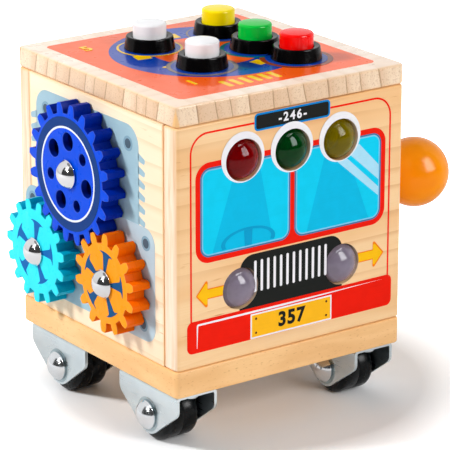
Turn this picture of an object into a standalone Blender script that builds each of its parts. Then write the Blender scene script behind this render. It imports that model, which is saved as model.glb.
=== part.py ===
# A wooden activity cube on four fixed castors: bus front with five domed lights, five push
# buttons in the lid, three meshing gears on the left side, a ball knob sliding in a slot on
# the right side, and batteries, wiring and a light board inside.
# Metres, +Z up, the bus front towards -Y. The origin is on the floor under the middle of the
# whole cube, its gears and its knob.

import bpy
import bmesh
from math import acos, atan2, cos, hypot, pi, radians, sin, sqrt, tan
from mathutils import Vector

# Sides of the round pieces, and steps along their curves
FINE_SIDES = 24
ROUND_SIDES = 20
PIN_SIDES = 16
SMALL_SIDES = 12
LED_SIDES = 8
DOME_STEPS = 4
CAP_DOME_STEPS = 3
SMALL_DOME_STEPS = 2
BALL_STEPS = 10
EDGE_STEPS = 2
CORNER_STEPS = 3

# Box
BOX_WIDTH = 0.120
BOX_DEPTH = 0.122
BOX_HEIGHT = 0.128
LID_THICKNESS = 0.009
BASE_THICKNESS = 0.012
WALL_THICKNESS = 0.009
BOARD_CORNER = 0.0025
BOARD_EDGE = 0.001
SEAT_GAP = 0.0003

# Castors
CASTOR_HEIGHT = 0.0268
WHEEL_RADIUS = 0.0123
WHEEL_WIDTH = 0.0174
WHEEL_SHOULDER = 0.0030
WHEEL_HUB_RADIUS = 0.0045
FORK_WIDTH = 0.021
FORK_LENGTH = 0.0437
FORK_METAL = 0.0015
FORK_FOLD = 0.0024
FORK_CORNER = 0.0025
FORK_CHEEK_DROP = 0.0088
FORK_NOSE_STEPS = 5
FORK_NOSE_RADIUS = 0.0088
CASTOR_SIDE_INSET = 0.0018
FRONT_AXLE_INSET = 0.0246
REAR_AXLE_INSET = 0.0262
AXLE_RADIUS = 0.0025
RUNNING_CLEARANCE = 0.0002
AXLE_HEAD_RADIUS = 0.0065
AXLE_HEAD_HEIGHT = 0.0046
AXLE_HEAD_RIM = 0.0010
FORK_SCREW_RADIUS = 0.0032
FORK_SCREW_HEIGHT = 0.0018
FORK_SCREW_SPREAD = 0.0345

# Gears
GEAR_MODULE = 0.0029
PRESSURE_ANGLE = radians(20)
GEAR_BACKLASH = 0.00035
GEAR_CENTRE_SPARE = 0.0005
GEAR_WIDTH = 0.009
GEAR_PLATE = 0.003
GEAR_CHAMFER = 0.0004
GEAR_WALL_GAP = 0.0006
GEAR_HUB_RADIUS = 0.0055
GEAR_RIM = 0.0032
GEAR_RIB = 0.0016
GEAR_ROOT_CLEARANCE = 0.0009
LARGE_TEETH = 20
CYAN_TEETH = 15
ORANGE_TEETH = 14
LARGE_ADDENDUM = 0.0022
CYAN_ADDENDUM = 0.0017
ORANGE_ADDENDUM = 0.0021
LARGE_GEAR_BACK = 0.0062
LARGE_GEAR_RISE = 0.0205
CYAN_DIRECTION = radians(303.5)
ORANGE_DIRECTION = radians(237.5)
LARGE_GEAR_TURN = radians(5.8)
HOLE_CIRCLE = 0.0144
LARGE_HOLE_RADIUS = 0.0040
SMALL_HOLE_RADIUS = 0.0026
HOLE_COUNT = 7
FIRST_HOLE = radians(90)
LARGE_HOLES = (0, 2, 4, 6)
SMALL_GEAR_RIBS = 5
FIRST_RIB = radians(27)
PIN_RADIUS = 0.0025
PIN_HEAD_RADIUS = 0.0066
PIN_HEAD_HEIGHT = 0.0046
PIN_HEAD_RIM = 0.0006

# Push buttons: centres from the left and front faces of the box
BUTTONS = {
    "red": (0.0868, 0.0334),
    "green": (0.0818, 0.0569),
    "yellow": (0.0838, 0.0874),
    "white_front": (0.0458, 0.0459),
    "white_left": (0.0448, 0.0844),
}
BEZEL_BASE_RADIUS = 0.0113
BEZEL_TOP_RADIUS = 0.0104
BEZEL_HEIGHT = 0.0061
BEZEL_ROUND = 0.0006
BEZEL_DISH = 0.0004
CAP_RADIUS = 0.0074
CAP_PROUD = 0.0063
CAP_ROUND = 0.0011
CAP_CROWN = 0.0004
CAP_FLANGE = 0.0008
CAP_FLANGE_DEPTH = 0.0044
BUTTON_TRAVEL = 0.003
BUTTON_LIP = 0.0044
BARREL_WALL = 0.0008
BARREL_DEPTH = 0.0200
BARREL_FLOOR = 0.0015
SWITCH_RADIUS = 0.0050
SWITCH_DEPTH = 0.0040
NUT_THICKNESS = 0.0040
NUT_WALL = 0.0012
SPRING_RADIUS = 0.0048
SPRING_WIRE = 0.0004
SPRING_TURNS = 4
SPRING_STEPS = 7

# Lights: about the middle of the front, the traffic lights counted down from the lid and the
# headlights up from the box's underside
TRAFFIC_LIGHT_SPACING = 0.0255
TRAFFIC_LIGHT_DROP = 0.0192
HEADLIGHT_SPACING = 0.0540
HEADLIGHT_HEIGHT = 0.0433
LENS_HOLE_RADIUS = 0.0092
LENS_RIM_DEPTH = 0.0018
LENS_DOME_HEIGHT = 0.0055
LENS_SKIN = 0.0013
LENS_FLANGE = 0.0016
LENS_FLANGE_THICKNESS = 0.0015
LIGHT_BOARD_THICKNESS = 0.0016
LIGHT_BOARD_STANDOFF = 0.0080
LIGHT_BOARD_MARGIN = 0.0060
LED_RADIUS = 0.0025
LED_LENGTH = 0.0075
POST_RADIUS = 0.0022
POST_HEIGHT_SPREAD = 0.0300

# Ball knob in its slot
SLOT_FRONT_Y = 0.0300
SLOT_TRAVEL = 0.0620
SLOT_RISE = 0.0020
STEM_RADIUS = 0.0040
SLOT_CLEARANCE = 0.0003
SLOT_END_STEPS = 8
BALL_RADIUS = 0.0158
BALL_REACH = 0.0310
BALL_SOCKET_DEPTH = 0.0100
COLLAR_RADIUS = 0.0085
COLLAR_THICKNESS = 0.0030
RETAINER_RADIUS = 0.0090
RETAINER_THICKNESS = 0.0030

# Batteries
CELL_RADIUS = 0.00515
CELL_LENGTH = 0.0440
CELL_TIP_RADIUS = 0.0019
CELL_TIP = 0.0008
BATTERY_CLEARANCE = 0.0004
BATTERY_BOX_WALL = 0.0015
BATTERY_SCREW_BLOCK = 0.0085
COVER_THICKNESS = 0.0018
COVER_LIP = 0.0030
COVER_CORNER = 0.0015
SCREW_RADIUS = 0.0011
SCREW_HEAD_RADIUS = 0.0024
SCREW_HEAD_HEIGHT = 0.0011
SCREW_LENGTH = 0.0090

# Wiring
LEAD_RADIUS = 0.0014
LEAD_STEPS = 3
BATTERY_LEAD_RISE = 0.010
BATTERY_LEAD_TOP = 0.018
BATTERY_LEAD_BACK = 0.024
BATTERY_LEAD_FRONT = 0.012
BUTTON_LEAD_OUT = 0.008
BUTTON_LEAD_BEND = 0.004
BUTTON_LEAD_LOW = 0.012
BUTTON_LEAD_HIGH = 0.006
BUTTON_LEAD_DROP = 0.020

# Sizes that follow from the ones above
axle_height = WHEEL_RADIUS * cos(pi / FINE_SIDES)
base_low = CASTOR_HEIGHT
base_high = base_low + BASE_THICKNESS
lid_high = base_low + BOX_HEIGHT
lid_low = lid_high - LID_THICKNESS
wall_low = base_high + SEAT_GAP
wall_high = lid_low - SEAT_GAP
gear_reach = GEAR_WALL_GAP + GEAR_WIDTH + SEAT_GAP + PIN_HEAD_HEIGHT
ball_side = BALL_REACH + BALL_RADIUS
lens_proud = LENS_DOME_HEIGHT - LENS_RIM_DEPTH
large_gear_y = BOX_DEPTH / 2 + LARGE_GEAR_BACK
large_gear_z = BOX_HEIGHT / 2 + LARGE_GEAR_RISE
slot_z = BOX_HEIGHT / 2 + SLOT_RISE
traffic_light_z = BOX_HEIGHT - LID_THICKNESS - TRAFFIC_LIGHT_DROP
left_face = (gear_reach - ball_side - BOX_WIDTH) / 2
front_face = (lens_proud - BOX_DEPTH) / 2

# Materials: base colour, roughness, metallic
FINISHES = {
    "pine": ((0.90, 0.73, 0.50), 0.45, 0.0),
    "base_wood": ((0.88, 0.62, 0.34), 0.45, 0.0),
    "black_plastic": ((0.012, 0.012, 0.014), 0.25, 0.0),
    "red_plastic": ((0.80, 0.02, 0.02), 0.25, 0.0),
    "green_plastic": ((0.0, 0.36, 0.11), 0.25, 0.0),
    "yellow_plastic": ((0.95, 0.72, 0.0), 0.25, 0.0),
    "white_plastic": ((0.86, 0.86, 0.88), 0.25, 0.0),
    "blue_plastic": ((0.01, 0.09, 0.75), 0.35, 0.0),
    "cyan_plastic": ((0.09, 0.72, 0.88), 0.35, 0.0),
    "orange_plastic": ((1.0, 0.31, 0.02), 0.35, 0.0),
    "red_lens": ((0.30, 0.0, 0.02), 0.08, 0.0),
    "green_lens": ((0.0, 0.15, 0.02), 0.08, 0.0),
    "yellow_lens": ((0.35, 0.25, 0.0), 0.08, 0.0),
    "smoked_lens": ((0.28, 0.24, 0.32), 0.08, 0.0),
    "chrome": ((0.75, 0.75, 0.76), 0.08, 1.0),
    "zinc": ((0.60, 0.67, 0.71), 0.28, 1.0),
    "spring_steel": ((0.55, 0.55, 0.57), 0.30, 1.0),
    "circuit_board": ((0.02, 0.22, 0.08), 0.45, 0.0),
    "ball_paint": ((1.0, 0.36, 0.0), 0.15, 0.0),
    "grey_plastic": ((0.35, 0.35, 0.37), 0.45, 0.0),
    "cell_sleeve": ((0.10, 0.25, 0.55), 0.35, 0.2),
    "lead_sleeve": ((0.05, 0.05, 0.05), 0.50, 0.0),
}

TURN_TO_X = (pi / 2, 0, pi / 2)
TURN_TO_Y = (-pi / 2, 0, 0)


def clear_scene():
    for old in list(bpy.data.objects):
        bpy.data.objects.remove(old, do_unlink=True)


def material(finish):
    found = bpy.data.materials.get(finish)
    if found:
        return found
    colour, roughness, metallic = FINISHES[finish]
    made = bpy.data.materials.new(finish)
    made.use_nodes = True
    shader = made.node_tree.nodes["Principled BSDF"]
    shader.inputs["Base Color"].default_value = (*colour, 1)
    shader.inputs["Roughness"].default_value = roughness
    shader.inputs["Metallic"].default_value = metallic
    return made


# Puts a mesh in the scene. Its place is given from the box's left face, front face and floor.
def add_object(name, bm, place, finish, turn=(0, 0, 0), sharp=35):
    bmesh.ops.recalc_face_normals(bm, faces=bm.faces)
    mesh = bpy.data.meshes.new(name)
    bm.to_mesh(mesh)
    bm.free()
    mesh.shade_smooth()
    mesh.set_sharp_from_angle(angle=radians(sharp))
    obj = bpy.data.objects.new(name, mesh)
    bpy.context.scene.collection.objects.link(obj)
    obj.location = (left_face + place[0], front_face + place[1], place[2])
    obj.rotation_euler = turn
    if finish:
        mesh.materials.append(material(finish))
    return obj


def hide_tool(obj):
    obj.hide_render = True
    obj.display_type = "WIRE"
    return obj


def boolean(obj, tool, operation="DIFFERENCE"):
    change = obj.modifiers.new(tool.name, "BOOLEAN")
    change.object = hide_tool(tool)
    change.operation = operation
    change.solver = "EXACT"


# A turned mesh about local Z from (radius, height) points. Ends on the axis make a solid,
# and otherwise the profile closes on itself as a ring.
def add_turned(bm, profile, sides, centre=(0, 0, 0)):
    step = 2 * pi / sides
    rings = []
    for radius, height in profile:
        if radius == 0:
            rings.append([bm.verts.new((centre[0], centre[1], centre[2] + height))])
            continue
        ring = []
        for k in range(sides):
            angle = (k + 0.5) * step
            ring.append(bm.verts.new((centre[0] + radius * cos(angle),
                                      centre[1] + radius * sin(angle),
                                      centre[2] + height)))
        rings.append(ring)
    pairs = list(zip(rings, rings[1:]))
    if profile[0][0] > 0:
        pairs.append((rings[-1], rings[0]))
    for low, high in pairs:
        for k in range(sides):
            corners = [low[k % len(low)], low[(k + 1) % len(low)],
                       high[(k + 1) % len(high)], high[k % len(high)]]
            face = list(dict.fromkeys(corners))
            bm.faces.new(face)
    return bm


def turned(name, profile, sides, place, finish, turn=(0, 0, 0)):
    return add_object(name, add_turned(bmesh.new(), profile, sides), place, finish, turn)


def arc(centre_r, centre_z, radius, start, end, steps):
    points = []
    for k in range(steps + 1):
        angle = radians(start + (end - start) * k / steps)
        points.append((centre_r + radius * cos(angle), centre_z + radius * sin(angle)))
    return points


# A dome from its rim at (radius, 0) to its tip at (0, height), as (radius, height) points.
def dome(radius, height, steps):
    sphere = (radius * radius + height * height) / (2 * height)
    reach = atan2(radius, sphere - height)
    points = []
    for k in range(steps + 1):
        angle = reach * (1 - k / steps)
        points.append((sphere * sin(angle), height - sphere + sphere * cos(angle)))
    points[-1] = (0, height)
    return points


# A closed outline pushed from height low to height high.
def add_prism(bm, outline, low, high):
    bottom = [bm.verts.new((x, y, low)) for x, y in outline]
    top = [bm.verts.new((x, y, high)) for x, y in outline]
    bm.faces.new(bottom)
    bm.faces.new(top)
    for k in range(len(outline)):
        after = (k + 1) % len(outline)
        bm.faces.new((bottom[k], bottom[after], top[after], top[k]))
    return bm


def circle(radius, sides, centre=(0, 0)):
    step = 2 * pi / sides
    return [(centre[0] + radius * cos((k + 0.5) * step),
             centre[1] + radius * sin((k + 0.5) * step)) for k in range(sides)]


def add_box(bm, size, centre=(0, 0, 0)):
    made = bmesh.ops.create_cube(bm, size=1)
    for vert in made["verts"]:
        vert.co = Vector([centre[k] + vert.co[k] * size[k] for k in range(3)])
    return made["verts"]


# A board whose upright edges at the box's corners are rounded, and its other edges eased.
def board(name, size, place, finish, corner_edges, corner=BOARD_CORNER, edge=BOARD_EDGE):
    bm = bmesh.new()
    add_box(bm, size)
    chosen = [e for e in bm.edges if corner_edges(e)]
    if chosen:
        bmesh.ops.bevel(bm, geom=chosen, offset=corner, segments=CORNER_STEPS, profile=0.5, affect="EDGES")
    bm.normal_update()
    sharp = [e for e in bm.edges if e.calc_face_angle() > radians(60)]
    bmesh.ops.bevel(bm, geom=sharp, offset=edge, segments=EDGE_STEPS, profile=0.5, affect="EDGES",
                    clamp_overlap=True)
    return add_object(name, bm, place, finish)


def upright(edge):
    a, b = edge.verts
    return abs(a.co.z - b.co.z) > BOARD_EDGE


def upright_on_side(sign):
    return lambda edge: upright(edge) and all(v.co.y * sign > 0 for v in edge.verts)


# Each light's centre across the box and above its underside.
def light_places():
    middle = BOX_WIDTH / 2
    return {
        "red": (middle - TRAFFIC_LIGHT_SPACING, traffic_light_z),
        "green": (middle, traffic_light_z),
        "yellow": (middle + TRAFFIC_LIGHT_SPACING, traffic_light_z),
        "left_headlight": (middle - HEADLIGHT_SPACING / 2, HEADLIGHT_HEIGHT),
        "right_headlight": (middle + HEADLIGHT_SPACING / 2, HEADLIGHT_HEIGHT),
    }


def make_box():
    wall_height = wall_high - wall_low
    wall_middle = (wall_high + wall_low) / 2
    side_depth = BOX_DEPTH - 2 * WALL_THICKNESS - 2 * SEAT_GAP
    lid = board("lid_board", (BOX_WIDTH, BOX_DEPTH, LID_THICKNESS),
                (BOX_WIDTH / 2, BOX_DEPTH / 2, (lid_low + lid_high) / 2), "pine", upright)
    base = board("base_board", (BOX_WIDTH, BOX_DEPTH, BASE_THICKNESS),
                 (BOX_WIDTH / 2, BOX_DEPTH / 2, (base_low + base_high) / 2), "base_wood", upright)
    front = board("front_wall", (BOX_WIDTH, WALL_THICKNESS, wall_height),
                  (BOX_WIDTH / 2, WALL_THICKNESS / 2, wall_middle), "pine", upright_on_side(-1))
    board("rear_wall", (BOX_WIDTH, WALL_THICKNESS, wall_height),
          (BOX_WIDTH / 2, BOX_DEPTH - WALL_THICKNESS / 2, wall_middle), "pine",
          upright_on_side(1))
    left = board("left_wall", (WALL_THICKNESS, side_depth, wall_height),
                 (WALL_THICKNESS / 2, BOX_DEPTH / 2, wall_middle), "pine", lambda edge: False,
                 edge=SEAT_GAP)
    right = board("right_wall", (WALL_THICKNESS, side_depth, wall_height),
                  (BOX_WIDTH - WALL_THICKNESS / 2, BOX_DEPTH / 2, wall_middle), "pine",
                  lambda edge: False, edge=SEAT_GAP)
    boolean(lid, button_hole_tool())
    boolean(front, lens_hole_tool())
    boolean(left, gear_pin_hole_tool())
    boolean(right, slot_tool())
    boolean(base, battery_hole_tool())


def button_hole_tool():
    bm = bmesh.new()
    for x, y in BUTTONS.values():
        add_prism(bm, circle(barrel_radius + SEAT_GAP, ROUND_SIDES, (x, y)),
                  lid_low - LID_THICKNESS, lid_high + LID_THICKNESS)
    return add_object("button_hole_tool", bm, (0, 0, 0), None)


def lens_hole_tool():
    bm = bmesh.new()
    for x, z in light_places().values():
        add_prism(bm, circle(LENS_HOLE_RADIUS, ROUND_SIDES, (x, -z)),
                  -WALL_THICKNESS, 2 * WALL_THICKNESS)
    return add_object("lens_hole_tool", bm, (0, 0, base_low), None, TURN_TO_Y)


def gear_pin_hole_tool():
    bm = bmesh.new()
    for y, z in gear_centres().values():
        add_prism(bm, circle(PIN_RADIUS + SEAT_GAP, SMALL_SIDES, (y, z)),
                  -WALL_THICKNESS, 2 * WALL_THICKNESS)
    return add_object("gear_pin_hole_tool", bm, (0, 0, base_low), None, TURN_TO_X)


def slot_tool():
    radius = STEM_RADIUS + SLOT_CLEARANCE
    outline = []
    for end, first in ((SLOT_FRONT_Y, pi / 2), (SLOT_FRONT_Y + SLOT_TRAVEL, 3 * pi / 2)):
        for k in range(SLOT_END_STEPS + 1):
            angle = first + pi * k / SLOT_END_STEPS
            outline.append((end + radius * cos(angle), radius * sin(angle)))
    bm = add_prism(bmesh.new(), outline, -WALL_THICKNESS, 2 * WALL_THICKNESS)
    return add_object("slot_tool", bm, (BOX_WIDTH - WALL_THICKNESS, 0, base_low + slot_z),
                      None, TURN_TO_X)


# Where the battery box stands in the base, and its sizes.
cell_pocket = (CELL_LENGTH + CELL_TIP + 2 * BATTERY_CLEARANCE,
               4 * CELL_RADIUS + 3 * BATTERY_CLEARANCE,
               2 * CELL_RADIUS + 2 * BATTERY_CLEARANCE)
battery_box = (cell_pocket[0] + BATTERY_SCREW_BLOCK + BATTERY_BOX_WALL,
               cell_pocket[1] + 2 * BATTERY_BOX_WALL,
               cell_pocket[2] + BATTERY_BOX_WALL)
battery_floor = base_low + SEAT_GAP + COVER_THICKNESS + SEAT_GAP
pocket_centre_x = (BOX_WIDTH + battery_box[0]) / 2 - BATTERY_BOX_WALL - cell_pocket[0] / 2
screw_x = (BOX_WIDTH - battery_box[0]) / 2 + BATTERY_SCREW_BLOCK / 2


def battery_hole_tool():
    bm = bmesh.new()
    add_box(bm, (battery_box[0] + 2 * SEAT_GAP, battery_box[1] + 2 * SEAT_GAP,
                 2 * BASE_THICKNESS))
    through = add_object("battery_hole_tool", bm,
                         (BOX_WIDTH / 2, BOX_DEPTH / 2, battery_floor + BASE_THICKNESS),
                         None)
    bm = bmesh.new()
    recess = battery_floor - base_low
    add_box(bm, (battery_box[0] + 2 * COVER_LIP + 2 * SEAT_GAP,
                 battery_box[1] + 2 * COVER_LIP + 2 * SEAT_GAP, 2 * recess))
    lower = add_object("cover_recess_tool", bm, (BOX_WIDTH / 2, BOX_DEPTH / 2, base_low), None)
    boolean(through, lower, "UNION")
    return through


def make_battery():
    middle = BOX_DEPTH / 2
    bm = bmesh.new()
    add_box(bm, battery_box)
    box = add_object("battery_box", bm,
                     (BOX_WIDTH / 2, middle, battery_floor + battery_box[2] / 2), "grey_plastic")
    bm = bmesh.new()
    add_box(bm, (cell_pocket[0], cell_pocket[1], 2 * cell_pocket[2]))
    boolean(box, add_object("cell_pocket_tool", bm, (pocket_centre_x, middle, battery_floor),
                            None))
    bm = add_prism(bmesh.new(), circle(SCREW_RADIUS + SEAT_GAP, SMALL_SIDES), -SCREW_LENGTH, SCREW_LENGTH)
    boolean(box, add_object("screw_pilot_tool", bm, (screw_x, middle, battery_floor), None))

    cover_size = (battery_box[0] + 2 * COVER_LIP, battery_box[1] + 2 * COVER_LIP,
                  COVER_THICKNESS)
    bm = bmesh.new()
    add_box(bm, cover_size)
    corners = [e for e in bm.edges if upright(e)]
    bmesh.ops.bevel(bm, geom=corners, offset=COVER_CORNER, segments=CORNER_STEPS, profile=0.5,
                    affect="EDGES")
    cover = add_object("battery_cover", bm,
                       (BOX_WIDTH / 2, middle, base_low + SEAT_GAP + COVER_THICKNESS / 2),
                       "grey_plastic")
    head_room = SCREW_HEAD_HEIGHT + SEAT_GAP
    well = [(0, -COVER_THICKNESS), (SCREW_HEAD_RADIUS + SEAT_GAP, -COVER_THICKNESS),
            (SCREW_HEAD_RADIUS + SEAT_GAP, head_room), (SCREW_RADIUS + SEAT_GAP, head_room),
            (SCREW_RADIUS + SEAT_GAP, 2 * COVER_THICKNESS), (0, 2 * COVER_THICKNESS)]
    boolean(cover, turned("screw_well_tool", well, SMALL_SIDES, (screw_x, middle, base_low + SEAT_GAP),
                          None))
    screw = [(0, 0), (SCREW_HEAD_RADIUS, 0), (SCREW_HEAD_RADIUS, SCREW_HEAD_HEIGHT),
             (SCREW_RADIUS, SCREW_HEAD_HEIGHT), (SCREW_RADIUS, SCREW_LENGTH - SCREW_RADIUS),
             (0, SCREW_LENGTH)]
    turned("battery_cover_screw", screw, SMALL_SIDES, (screw_x, middle, base_low + SEAT_GAP), "zinc")

    cell = [(0, 0), (CELL_RADIUS, 0), (CELL_RADIUS, CELL_LENGTH), (CELL_TIP_RADIUS, CELL_LENGTH),
            (CELL_TIP_RADIUS, CELL_LENGTH + CELL_TIP), (0, CELL_LENGTH + CELL_TIP)]
    start = pocket_centre_x - (CELL_LENGTH + CELL_TIP) / 2
    pitch = 2 * CELL_RADIUS + BATTERY_CLEARANCE
    height = battery_floor + cell_pocket[2] - BATTERY_CLEARANCE - CELL_RADIUS
    turned("battery_cell_1", cell, PIN_SIDES, (start, middle - pitch / 2, height), "cell_sleeve",
           TURN_TO_X)
    turned("battery_cell_2", cell, PIN_SIDES, (start, middle + pitch / 2, height), "cell_sleeve",
           TURN_TO_X)


# Push buttons. Heights in the profiles are counted from the top of the lid.
cap_bore = CAP_RADIUS + SEAT_GAP
flange_radius = CAP_RADIUS + CAP_FLANGE
flange_bore = flange_radius + SEAT_GAP
barrel_radius = flange_bore + BARREL_WALL
flange_top = BEZEL_HEIGHT - BUTTON_LIP - SEAT_GAP
flange_low = flange_top - CAP_FLANGE_DEPTH
barrel_floor = BARREL_FLOOR - BARREL_DEPTH


def housing_profile():
    side = [(barrel_radius, SEAT_GAP), (BEZEL_BASE_RADIUS, SEAT_GAP)]
    side += [(BEZEL_TOP_RADIUS, BEZEL_HEIGHT - BEZEL_ROUND),
             (BEZEL_TOP_RADIUS - BEZEL_ROUND, BEZEL_HEIGHT)]
    bore = [(cap_bore, BEZEL_HEIGHT - BEZEL_DISH), (cap_bore, BEZEL_HEIGHT - BUTTON_LIP),
            (flange_bore, BEZEL_HEIGHT - BUTTON_LIP), (flange_bore, barrel_floor),
            (0, barrel_floor)]
    foot = [(0, -BARREL_DEPTH - SWITCH_DEPTH), (SWITCH_RADIUS, -BARREL_DEPTH - SWITCH_DEPTH),
            (SWITCH_RADIUS, -BARREL_DEPTH), (barrel_radius, -BARREL_DEPTH)]
    return foot + side + bore


def cap_profile():
    top = BEZEL_HEIGHT + CAP_PROUD
    edge = arc(CAP_RADIUS - CAP_ROUND, top - CAP_CROWN - CAP_ROUND, CAP_ROUND, 0, 90, EDGE_STEPS)
    return [(0, flange_low), (flange_radius, flange_low), (flange_radius, flange_top),
            (CAP_RADIUS, flange_top)] + edge + [(0, top)]


def make_buttons():
    cap_finish = {"red": "red_plastic", "green": "green_plastic", "yellow": "yellow_plastic"}
    nut_bore = barrel_radius + SEAT_GAP
    nut_corner = (nut_bore + NUT_WALL) / cos(pi / 6)
    for name, (x, y) in BUTTONS.items():
        turned(name + "_button_housing", housing_profile(), ROUND_SIDES, (x, y, lid_high),
               "black_plastic")
        turned(name + "_button_cap", cap_profile(), ROUND_SIDES, (x, y, lid_high),
               cap_finish.get(name, "white_plastic"))
        bm = add_prism(bmesh.new(), circle(nut_corner, 6), -NUT_THICKNESS, 0)
        nut = add_object(name + "_button_nut", bm, (x, y, lid_low - SEAT_GAP), "black_plastic")
        bm = add_prism(bmesh.new(), circle(nut_bore, ROUND_SIDES), -2 * NUT_THICKNESS, NUT_THICKNESS)
        boolean(nut, add_object(name + "_nut_bore_tool", bm, (x, y, lid_low - SEAT_GAP), None))
        spring_low = lid_high + barrel_floor + SEAT_GAP + SPRING_WIRE
        spring_high = lid_high + flange_low - SEAT_GAP - SPRING_WIRE
        helix(name + "_button_spring", (x, y), spring_low, spring_high)


# A wire helix standing on local Z, one unbroken tube.
def helix(name, centre, low, high):
    points = SPRING_TURNS * SPRING_STEPS
    curve = bpy.data.curves.new(name, "CURVE")
    curve.dimensions = "3D"
    curve.bevel_depth = SPRING_WIRE
    curve.bevel_resolution = 0
    curve.use_fill_caps = True
    spline = curve.splines.new("POLY")
    spline.points.add(points)
    for k in range(points + 1):
        turn = 2 * pi * SPRING_TURNS * k / points
        height = (high - low) * k / points
        spline.points[k].co = (SPRING_RADIUS * cos(turn), SPRING_RADIUS * sin(turn), height, 1)
    curve.materials.append(material("spring_steel"))
    obj = bpy.data.objects.new(name, curve)
    bpy.context.scene.collection.objects.link(obj)
    obj.location = (left_face + centre[0], front_face + centre[1], low)


# Lights. Heights in the profile run inwards from the front face.
lens_radius = LENS_HOLE_RADIUS - SEAT_GAP
flange_front = WALL_THICKNESS + SEAT_GAP
flange_back = flange_front + LENS_FLANGE_THICKNESS


def lens_profile():
    outer = [(r, LENS_RIM_DEPTH - z) for r, z in dome(lens_radius, LENS_DOME_HEIGHT, DOME_STEPS)]
    inner_radius = lens_radius - LENS_SKIN
    inner = dome(inner_radius, LENS_DOME_HEIGHT - LENS_SKIN, SMALL_DOME_STEPS)
    inner = [(r, LENS_RIM_DEPTH - z) for r, z in inner]
    rim = lens_radius + LENS_FLANGE
    back = [(lens_radius, flange_front), (rim, flange_front), (rim, flange_back),
            (inner_radius, flange_back)]
    return outer[::-1] + back + inner


def make_lights():
    for name, (x, z) in light_places().items():
        finish = "smoked_lens" if name.endswith("headlight") else name + "_lens"
        turned(name + "_lens", lens_profile(), ROUND_SIDES, (x, 0, base_low + z), finish, TURN_TO_Y)

    spread = [x for x, z in light_places().values()]
    left = min(spread) - LIGHT_BOARD_MARGIN
    right = max(spread) + LIGHT_BOARD_MARGIN
    low = HEADLIGHT_HEIGHT - LIGHT_BOARD_MARGIN
    high = traffic_light_z + LIGHT_BOARD_MARGIN
    board_front = flange_back + LIGHT_BOARD_STANDOFF
    bm = bmesh.new()
    add_box(bm, (right - left, LIGHT_BOARD_THICKNESS, high - low))
    panel = add_object("light_board", bm,
                       ((left + right) / 2, board_front + LIGHT_BOARD_THICKNESS / 2,
                        base_low + (low + high) / 2), "circuit_board")
    bm = bmesh.new()
    inside = LIGHT_BOARD_THICKNESS / 2
    for x, z in light_places().values():
        profile = [(0, inside), (LED_RADIUS, inside), (LED_RADIUS, LED_RADIUS - LED_LENGTH)]
        tip = dome(LED_RADIUS, LED_RADIUS, SMALL_DOME_STEPS)[1:]
        tip = [(r, LED_RADIUS - LED_LENGTH - h) for r, h in tip]
        add_turned(bm, profile + tip, LED_SIDES, (x, -z, 0))
    boolean(panel, add_object("led_tool", bm, (0, board_front, base_low), None, TURN_TO_Y),
            "UNION")
    bm = bmesh.new()
    post_middle = (traffic_light_z + HEADLIGHT_HEIGHT) / 2
    for x in (left + POST_RADIUS, right - POST_RADIUS):
        for z in (post_middle - POST_HEIGHT_SPREAD / 2, post_middle + POST_HEIGHT_SPREAD / 2):
            add_prism(bm, circle(POST_RADIUS, LED_SIDES, (x, -z)), flange_front - board_front, inside)
    boolean(panel, add_object("post_tool", bm, (0, board_front, base_low), None, TURN_TO_Y),
            "UNION")


# Gears. Angles are counted from the rear (+Y) towards the top (+Z), as seen along +X.
def pitch_radius(teeth):
    return GEAR_MODULE * teeth / 2


def gear_centres():
    centres = {"large": (large_gear_y, large_gear_z)}
    for name, teeth, direction in (("cyan", CYAN_TEETH, CYAN_DIRECTION),
                                   ("orange", ORANGE_TEETH, ORANGE_DIRECTION)):
        reach = pitch_radius(LARGE_TEETH) + pitch_radius(teeth) + GEAR_CENTRE_SPARE
        centres[name] = (large_gear_y + reach * cos(direction),
                         large_gear_z + reach * sin(direction))
    return centres


# The turn that sets a small gear's teeth into the large gear's gaps.
def meshing_turn(teeth, direction):
    large_step = 2 * pi / LARGE_TEETH
    step = 2 * pi / teeth
    share = ((direction - LARGE_GEAR_TURN) / large_step) % 1
    return direction + pi - (0.5 - share) * step


# One tooth side: half the tooth's angle at a radius, by the involute of the base circle.
def half_tooth(teeth, radius):
    pitch = pitch_radius(teeth)
    base = pitch * cos(PRESSURE_ANGLE)
    half = (pi * GEAR_MODULE / 2 - GEAR_BACKLASH) / (2 * pitch)
    at_pitch = tan(PRESSURE_ANGLE) - PRESSURE_ANGLE
    if radius <= base:
        return half + at_pitch
    slope = acos(base / radius)
    return half + at_pitch - (tan(slope) - slope)


def gear_outline(teeth, tip, root, turn):
    base = pitch_radius(teeth) * cos(PRESSURE_ANGLE)
    start = max(base, root)
    flank = [start + (tip - start) * k / 2 for k in range(3)]
    if base > root:
        flank = [root] + flank
    points = []
    for k in range(teeth):
        centre = turn + 2 * pi * k / teeth
        for radius in flank:
            angle = centre - half_tooth(teeth, radius)
            points.append((radius * cos(angle), radius * sin(angle)))
        for radius in reversed(flank):
            angle = centre + half_tooth(teeth, radius)
            points.append((radius * cos(angle), radius * sin(angle)))
    return points


# The outline moved inwards by the same distance all round.
def inset_outline(points, distance):
    moved = []
    for k, point in enumerate(points):
        before = Vector(point) - Vector(points[k - 1])
        after = Vector(points[(k + 1) % len(points)]) - Vector(point)
        normals = [Vector((-edge.y, edge.x)).normalized() for edge in (before, after)]
        middle = (normals[0] + normals[1]).normalized()
        reach = distance / max(middle.dot(normals[0]), 0.5)
        moved.append((point[0] + middle.x * reach, point[1] + middle.y * reach))
    return moved


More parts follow.
